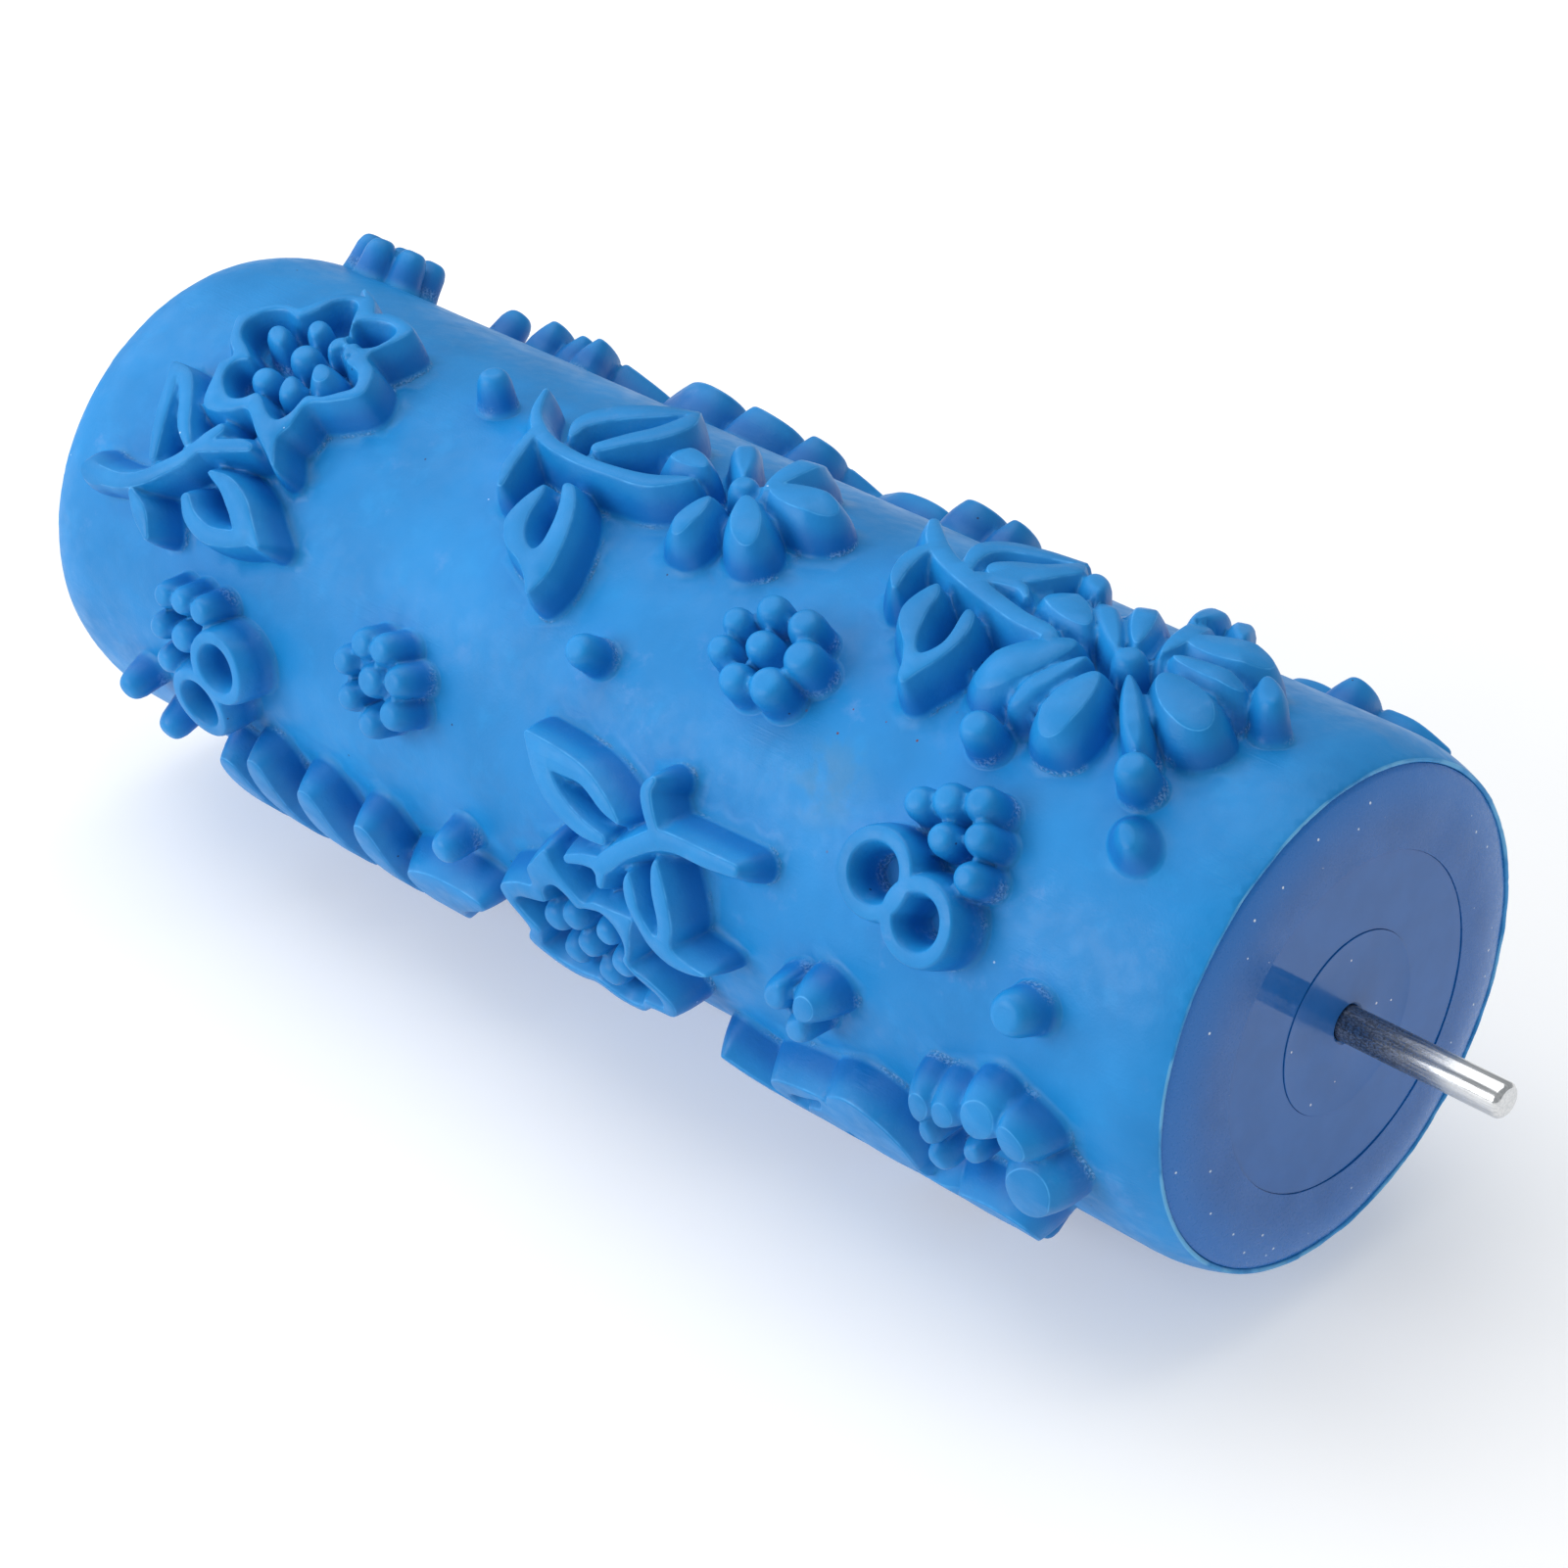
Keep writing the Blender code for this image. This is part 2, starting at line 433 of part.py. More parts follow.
def reach_of(kind, values, place):
    """A box round a shape, with a margin, so that only the sheet near it is worked on."""
    shift, turn, flip = place
    points = values if kind in ("outline", "hole", "stroke") else [values]
    size = 1.0 if kind in ("outline", "hole") else max(p[2] for p in points)
    along = [flip * p[0] + shift for p in points]
    around = [(p[1] + turn) * MM_PER_DEGREE for p in points]
    margin = size + 4.0
    return min(along) - margin, max(along) + margin, min(around) - margin, max(around) + margin


def pattern_distance(xs, ys):
    """Signed distance to the nearest motif over the sheet, and where the relief is shallow."""
    field = np.full((len(xs), len(ys)), 9.0)
    shallow = np.zeros(field.shape, bool)
    for motif, *place in LAYOUT:
        for kind, values in MOTIFS[motif]:
            low_x, high_x, low_y, high_y = reach_of(kind, values, place)
            rows = slice(*np.searchsorted(xs, (low_x, high_x)))
            columns = slice(*np.searchsorted(ys, (low_y, high_y)))
            x, y = np.meshgrid(xs[rows], ys[columns], indexing="ij")
            if not x.size:
                continue
            away = shape_distance(kind, values, place, x, y)
            part = field[rows, columns]
            field[rows, columns] = np.maximum(part, -away) if kind == "hole" else np.minimum(part, away)
            if kind == "low":
                shallow[rows, columns] |= away < 1.5
    return field, shallow


def contour_loops(field, xs, ys, level):
    """Closed loops where the field crosses a level (marching squares)."""
    inside = field < level
    links = {}

    def crossing(a, b):
        t = (level - field[a]) / (field[b] - field[a])
        return (xs[a[0]] + t * (xs[b[0]] - xs[a[0]]), ys[a[1]] + t * (ys[b[1]] - ys[a[1]]))

    mixed = inside[:-1, :-1].astype(int) + inside[1:, :-1] + inside[:-1, 1:] + inside[1:, 1:]
    for i, j in np.argwhere((mixed > 0) & (mixed < 4)):
        corners = [(i, j), (i + 1, j), (i + 1, j + 1), (i, j + 1)]
        cuts = []
        for k in range(4):
            a, b = corners[k], corners[(k + 1) % 4]
            if inside[a] != inside[b]:
                cuts.append(((min(a, b), max(a, b)), inside[a]))
        leaving = [edge for edge, was_inside in cuts if was_inside]
        entering = [edge for edge, was_inside in cuts if not was_inside]
        if len(cuts) == 4 and cuts[0][1]:
            entering.reverse()
        for start, end in zip(leaving, entering):
            links[start] = end
    loops = []
    while links:
        start, following = links.popitem()
        loop = [start]
        while following != start:
            loop.append(following)
            following = links.pop(following)
        loops.append([crossing(*edge) for edge in loop])
    return loops


def thinned(loop, tolerance):
    """The fewest points of a closed loop that keep within a tolerance of it (Douglas-Peucker)."""
    points = np.array(loop)
    far = int(np.argmax(np.hypot(*(points - points[0]).T)))
    keep = {0, far}
    spans = [(0, far), (far, len(points))]
    while spans:
        first, last = spans.pop()
        if last - first < 2:
            continue
        start, end = points[first], points[last % len(points)]
        run = end - start
        offsets = points[first + 1:last] - start
        along = np.clip(offsets @ run / max(run @ run, 1e-12), 0, 1)
        away = np.hypot(*(offsets - along[:, None] * run).T)
        worst = int(np.argmax(away))
        if away[worst] > tolerance:
            middle = first + 1 + worst
            keep.add(middle)
            spans += [(first, middle), (middle, last)]
    return points[sorted(keep)]


# --- the rubber sleeve ---------------------------------------------------------------------------

def ground_radius(x):
    """The plain rubber: a straight cylinder that curves down to the rim at each end."""
    past = max(0.0, abs(x) - (RIM_X - RIM_ROUNDING)) / RIM_ROUNDING
    return RUBBER_RADIUS - (RUBBER_RADIUS - RIM_RADIUS) * past ** 2


def on_sleeve(x, y, height):
    angle = y / TOP_RADIUS
    radius = ground_radius(x) + height
    return Vector((x, -radius * sin(angle), radius * cos(angle))) * MM


def sleeve_sheet():
    """Flat vertices, edges to keep and a height for each vertex."""
    turn = 360 * MM_PER_DEGREE
    low_y = (SEAM_ANGLE - 360) * MM_PER_DEGREE
    xs = np.arange(-RIM_X, RIM_X + GRID, GRID)
    ys = np.linspace(low_y, low_y + turn, int(turn / GRID))
    field, shallow = pattern_distance(xs, ys)

    flat, edges, heights = [], [], []
    for level, height in ((0.0, RELIEF_HEIGHT), (WALL_DRAFT, 0.0)):
        for loop in contour_loops(field, xs, ys, level):
            points = thinned(loop, OUTLINE_TOLERANCE)
            if len(points) < 4 or np.ptp(points, axis=0).max() < SMALLEST_LOOP:
                continue
            first = len(flat)
            for i, (x, y) in enumerate(points):
                low = shallow[np.searchsorted(xs, x) - 1, np.searchsorted(ys, y) - 1]
                flat.append((x, y))
                heights.append(min(height, LOW_RELIEF_HEIGHT) if low else height)
                edges.append((first + i, first + (i + 1) % len(points)))

    columns = np.linspace(low_y, low_y + turn, SEGMENTS + 1)
    inner = RIM_X - RIM_ROUNDING
    rim_rows = [-RIM_X, -RIM_X + 1.2, -RIM_X + 3.2, RIM_X - 3.2, RIM_X - 1.2, RIM_X]
    rows = [*rim_rows, *np.linspace(-inner, inner, 13)]
    for x in rows:
        for y in columns:
            i = min(np.searchsorted(xs, x), len(xs) - 1)
            j = min(np.searchsorted(ys, y), len(ys) - 1)
            away = field[i, j]
            if -1.3 < away < WALL_DRAFT + 1.3:
                continue
            flat.append((x, y))
            heights.append(RELIEF_HEIGHT if away < 0 else 0.0)
    return flat, edges, heights, low_y, turn


def sleeve_mesh():
    flat, edges, heights, low_y, turn = sleeve_sheet()
    cdt = delaunay_2d_cdt([Vector(p) for p in flat], edges, [], 0, 1e-6, True)
    points, _, faces, sources = cdt[:4]
    bm = bmesh.new()
    for point, source in zip(points, sources):
        height = heights[source[0]] if source else 0.0
        bm.verts.new(on_sleeve(point.x, point.y, height))
    bm.verts.ensure_lookup_table()
    for face in faces:
        bm.faces.new([bm.verts[i] for i in face])
    bmesh.ops.remove_doubles(bm, verts=bm.verts, dist=1e-7)
    bmesh.ops.holes_fill(bm, edges=[e for e in bm.edges if e.is_boundary], sides=0)
    bmesh.ops.recalc_face_normals(bm, faces=bm.faces)
    mesh = bpy.data.meshes.new("pattern_sleeve")
    bm.to_mesh(mesh)
    bm.free()
    mesh.shade_smooth()
    mesh.set_sharp_from_angle(angle=radians(35))
    return mesh


def pattern_sleeve(parts, cutters, roller, rubber):
    sleeve = add_object("pattern_sleeve", sleeve_mesh(), parts, roller, rubber)
    past = ROLLER_LENGTH / 2 + 5
    bore = turned("sleeve_bore", [
        (past, RECESS_RADIUS), (RECESS_X, RECESS_RADIUS), (RECESS_X, BORE_RADIUS),
        (-RECESS_X, BORE_RADIUS), (-RECESS_X, RECESS_RADIUS), (-past, RECESS_RADIUS),
        (-past, 0), (past, 0),
    ], cutters, roller)
    cut(sleeve, bore)


# --- the core and its ends -----------------------------------------------------------------------

def core_tube(parts, roller, plastic):
    end, inner = RECESS_X, TUBE_RADIUS - TUBE_WALL
    turned("core_tube", [(end, TUBE_RADIUS), (-end, TUBE_RADIUS), (-end, inner), (end, inner)],
           parts, roller, plastic)


def end_cap(where, side, parts, roller, plastic):
    """Outer ring of the end face: a domed flange, and a spigot inside the core tube."""
    face, back = ROLLER_LENGTH / 2, ROLLER_LENGTH / 2 - CAP_THICKNESS
    spigot = TUBE_RADIUS - TUBE_WALL - SEAM
    hole = HUB_RADIUS + SEAM
    turned("end_cap_" + where, [
        (face, hole), (face - 0.1, 23.0), (face - 0.45, 26.2), (face - 1.0, CAP_RADIUS - 0.2),
        (face - 1.3, CAP_RADIUS), (back, CAP_RADIUS), (back, spigot), (back - 12, spigot),
        (back - 12, spigot - 2.4), (back, spigot - 2.4), (back, hole),
    ], parts, roller, plastic, side=side)


def hub_ring(where, side, parts, roller, plastic):
    """Glossy middle ring: pressed through the cap from inside, up to its own shoulder."""
    face, back = ROLLER_LENGTH / 2 - 0.15, ROLLER_LENGTH / 2 - CAP_THICKNESS
    hole = BUSH_RADIUS + SEAM
    turned("hub_ring_" + where, [
        (face, hole), (face, HUB_RADIUS - 0.2), (face - 0.15, HUB_RADIUS), (back - GAP, HUB_RADIUS),
        (back - GAP, HUB_RADIUS + 1.2), (back - 3.2, HUB_RADIUS + 1.2), (back - 3.2, hole),
    ], parts, roller, plastic, side=side)


def axle_bush(where, side, parts, roller, plastic):
    """Matte centre of the end face: the plain bearing, with its shoulder behind the hub ring."""
    face, back = ROLLER_LENGTH / 2, ROLLER_LENGTH / 2 - CAP_THICKNESS - 3.2 - GAP
    turned("axle_bush_" + where, [
        (face - 0.2, AXLE_RADIUS + AXLE_CLEARANCE), (face, AXLE_RADIUS + AXLE_CLEARANCE + 0.3),
        (face, BUSH_RADIUS - 0.2), (face - 0.15, BUSH_RADIUS),
        (back, BUSH_RADIUS), (back, BUSH_RADIUS + 1.8), (back - 2.4, BUSH_RADIUS + 1.8),
        (back - 2.4, AXLE_RADIUS + AXLE_CLEARANCE),
    ], parts, roller, plastic, segments=SMALL_SEGMENTS, side=side)
    return back - 2.4


def thrust_washer(where, side, bush_end, parts, axle, steel):
    face = bush_end - GAP
    turned("thrust_washer_" + where, [
        (face, 6.0), (face - 0.8, 6.0), (face - 0.8, AXLE_RADIUS + AXLE_CLEARANCE),
        (face, AXLE_RADIUS + AXLE_CLEARANCE),
    ], parts, axle, steel, segments=SMALL_SEGMENTS, side=side)
    return face - 0.8


def push_on_clip(where, side, washer_end, parts, cutters, axle, steel):
    """Dished spring-steel ring whose teeth grip the axle."""
    face = washer_end - GAP
    clip = turned("push_on_clip_" + where, [
        (face, 5.4), (face - 0.5, 5.4), (face - 0.5, 4.0), (face - 1.3, AXLE_RADIUS + 0.05),
        (face - 0.8, AXLE_RADIUS + 0.05), (face, 4.0),
    ], parts, axle, steel, segments=SMALL_SEGMENTS, side=side)
    slots = bmesh.new()
    for i in range(3):
        bar = bmesh.ops.create_cube(slots, size=1.0)["verts"]
        bmesh.ops.scale(slots, vec=(0.004, 0.0007, 0.0075), verts=bar)
        turn = i * pi / 3 + 0.05
        for vert in bar:
            y, z = vert.co.y, vert.co.z
            vert.co.y, vert.co.z = y * cos(turn) - z * sin(turn), y * sin(turn) + z * cos(turn)
    mesh = bpy.data.meshes.new("clip_slots_" + where)
    slots.to_mesh(mesh)
    slots.free()
    cutter = add_object("clip_slots_" + where, mesh, cutters, axle)
    cutter.location.x = side * (face - 0.6) * MM
    cut(clip, cutter)


def steel_axle(parts, axle, steel):
    end, chamfer = AXLE_LENGTH / 2, 0.35
    turned("axle", [
        (end, 0), (end, AXLE_RADIUS - chamfer), (end - chamfer, AXLE_RADIUS),
        (-end + chamfer, AXLE_RADIUS), (-end, AXLE_RADIUS - chamfer), (-end, 0),
    ], parts, axle, steel, segments=SMALL_SEGMENTS)


def main():
    clear_scene()
    parts = new_collection("textured_pattern_roller")
    cutters = new_collection("cutters")
    cutters.hide_render = True
    axle = add_object("axle_body", None, parts)
    roller = add_object("roller_body", None, parts, axle)

    rubber = material("blue_rubber", BLUE_RUBBER, 0.42)
    cap_plastic = material("slate_plastic", SLATE_PLASTIC, 0.5)
    hub_plastic = material("gloss_slate_plastic", SLATE_PLASTIC, 0.12)
    bush_plastic = material("matte_slate_plastic", SLATE_PLASTIC, 0.6)
    tube_plastic = material("grey_plastic", GREY_PLASTIC, 0.55)
    axle_steel = material("zinc_steel", ZINC_STEEL, 0.2, metallic=1.0)
    clip_steel = material("spring_steel", (0.30, 0.30, 0.31), 0.35, metallic=1.0)

    pattern_sleeve(parts, cutters, roller, rubber)
    core_tube(parts, roller, tube_plastic)
    steel_axle(parts, axle, axle_steel)
    for where, side in (("near", 1), ("far", -1)):
        end_cap(where, side, parts, roller, cap_plastic)
        hub_ring(where, side, parts, roller, hub_plastic)
        bush_end = axle_bush(where, side, parts, roller, bush_plastic)
        washer_end = thrust_washer(where, side, bush_end, parts, axle, axle_steel)
        push_on_clip(where, side, washer_end, parts, cutters, axle, clip_steel)


main()
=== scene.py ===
"""Looks of a textured pattern roller: its rubber relief, plastic end faces and steel axle in full detail.

The pattern is drawn unrolled, in mm along the roller and degrees round it from the top (+Z) towards
the front (-Y). Meshes are in metres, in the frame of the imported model.
"""
from math import cos, pi, radians, sin

import bmesh
import bpy
import numpy as np
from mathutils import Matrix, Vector, noise
from mathutils.geometry import delaunay_2d_cdt


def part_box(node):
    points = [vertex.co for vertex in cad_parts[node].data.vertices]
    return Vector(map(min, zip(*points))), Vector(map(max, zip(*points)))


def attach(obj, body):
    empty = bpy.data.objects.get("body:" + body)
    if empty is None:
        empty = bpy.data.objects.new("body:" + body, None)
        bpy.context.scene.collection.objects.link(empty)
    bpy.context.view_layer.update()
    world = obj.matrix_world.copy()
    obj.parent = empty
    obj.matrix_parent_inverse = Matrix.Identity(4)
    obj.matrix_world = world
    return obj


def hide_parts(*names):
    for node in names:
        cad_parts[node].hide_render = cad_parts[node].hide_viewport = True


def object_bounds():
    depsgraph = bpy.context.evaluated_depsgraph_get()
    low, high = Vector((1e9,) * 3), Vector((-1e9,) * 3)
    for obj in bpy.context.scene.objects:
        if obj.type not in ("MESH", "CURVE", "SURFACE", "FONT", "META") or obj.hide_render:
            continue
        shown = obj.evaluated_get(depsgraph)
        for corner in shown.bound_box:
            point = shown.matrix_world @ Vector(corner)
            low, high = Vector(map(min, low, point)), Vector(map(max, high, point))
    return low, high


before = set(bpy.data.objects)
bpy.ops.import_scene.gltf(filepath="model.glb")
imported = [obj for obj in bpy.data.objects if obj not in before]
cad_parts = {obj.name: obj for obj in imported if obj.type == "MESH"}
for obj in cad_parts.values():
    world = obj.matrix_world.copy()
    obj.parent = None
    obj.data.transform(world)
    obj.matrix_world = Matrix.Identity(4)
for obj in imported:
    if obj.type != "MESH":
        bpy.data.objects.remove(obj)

MM = 0.001
CAD_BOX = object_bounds()

# Sizes in mm, from the frame
SLEEVE_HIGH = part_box("pattern_sleeve")[1] / MM
CAP_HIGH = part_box("end_cap_near")[1] / MM
HUB_LOW, HUB_HIGH = (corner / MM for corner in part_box("hub_ring_near"))
BUSH_LOW, BUSH_HIGH = (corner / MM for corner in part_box("axle_bush_near"))
AXLE_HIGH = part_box("axle")[1] / MM
RIM_X = SLEEVE_HIGH.x
TOP_RADIUS = SLEEVE_HIGH.z
FACE_X = CAP_HIGH.x

# Sizes in mm that the boxes don't show
RELIEF_HEIGHT = 5.0
LOW_RELIEF_HEIGHT = 3.0
GROUND_RADIUS = TOP_RADIUS - RELIEF_HEIGHT
RIM_RADIUS = 28.8
RIM_ROUNDING = 6.0         # length over which the ground curves down to the rim
RECESS_RADIUS = 28.2       # inside of the rubber lip round the end face
RECESS_X = FACE_X - 4.3
BORE_RADIUS = 26.0
HUB_RADIUS = 19.2
BUSH_RADIUS = 10.4
CAP_BACK = FACE_X - 4.0
CAP_ROLL = 1.15            # how far the cap's face falls away at its rim
COLLAR_LENGTH = 12         # of the cap's collar inside the core tube
COLLAR_INNER = HUB_RADIUS + 1.8
COLLAR_OUTER = HUB_RADIUS + 4.1
HUB_FLANGE = 4.15          # thickness of the hub ring where it fills the cap's hole
BUSH_SHOULDER = 2.2        # length of the bush's wide inner end
MM_PER_DEGREE = TOP_RADIUS * pi / 180
SEAM_ANGLE = 188.0         # the pattern's closing line, where no motif lies

# How each kind of shape falls from its top: how far inside its outline the fall begins and how far
# outside it ends, in mm, how soft the top edge is (1 is crisp), and how hollow the wall is (1 is
# straight, less bulges out)
WALLS = {
    "outline": (0.25, 1.5, 1.12, 0.78),
    "stroke": (0.25, 1.5, 1.12, 0.78),
    "ring": (0.25, 0.9, 1.5, 0.60),
    "hole": (0.25, 0.8, 1.2, 0.60),
    "petal": (0.60, 1.4, 1.12, 0.54),
    "dot": (1.5, 0.7, 3.1, 0.48),
    "block": (0.25, 1.3, 1.12, 0.60),
    "low": (2.2, 1.5, 1.9, 1.50),
}
FOOT = max(foot for _, foot, _, _ in WALLS.values())
DOMED_SHARE = 0.85         # of a dot's radius that its domed top may take
EGG = 0.22                 # share by which a petal is wider towards its outer end
LONG_PETAL = 6.0           # one longer than this droops at its outer end
DROOP_FROM = 0.38          # share of its half length beyond which its top slopes down
DROOP = 0.36               # slope there
SMALL_PETAL = 3.0          # one narrower than this is domed like a dot
LOW_TURN = radians(45)     # how low bumps lie

# Swelling of the soft rubber: (height in mm, waves per mm, shift of the noise)
SWELLS = ((0.10, 0.06, Vector((0, 0, 0))), (0.05, 0.22, Vector((7, 3, 1))))
# Raggedness of the cut lip: (height in mm, waves round the rim)
RAGGED = ((0.10, 9), (0.05, 60))

# The mesh of the relief, in mm
SAMPLE = 0.35              # spacing at which the pattern is sampled
FAR = 9.0                  # farther from a motif than any wall reaches
MARGIN = 4.0               # round a shape, where it is worked on
LEVELS = (-1.3, -0.95, -0.68, -0.5, -0.33, -0.17, 0.0, 0.3, 0.65, 1.0, 1.35, 1.5)   # off the outlines
OUTLINE_TOLERANCE = 0.014
GROUND_STEP = 2.1          # spacing of the points between motifs
CLEAR_OF_FOOT = 0.7        # these points keep this far from the walls
WIDE_TOP = 1.5             # and this far inside a motif's outline
RIM_STEPS = np.array([0.35, 0.9, 1.8, 3.0, 4.4])
RIM_COLUMNS = 288
SWELL_RADIUS = 30          # where the swelling is looked up

# The studio: (place in m, size in m, power in W) of each light, all aimed at the roller's middle
LIGHTS = {
    "left_bank": ((-1.1, -0.25, 0.7), (1.2, 0.9), 4.5),
    "overhead": ((-0.25, 0.1, 1.2), (1.3, 1.3), 9.3),
    "front_fill": ((-0.5, -1.1, 0.4), (0.9, 0.6), 8.5),
}
WORLD_COLOUR = (0.93, 0.97, 1.0, 1)
WORLD_STRENGTH = 0.44
FLOOR_REACH = 6            # half width of the floor, in m
FLOOR_GLOW = 0.32          # of the backlit table
CAMERA_PLACE = (0.30072, -0.29672, 0.24212)
CAMERA_AIM = (0.00721, 0.00159, -0.00660)
CAMERA_LENS = 96.84


def several(kind, *rows):
    return [(kind, row) for row in rows]


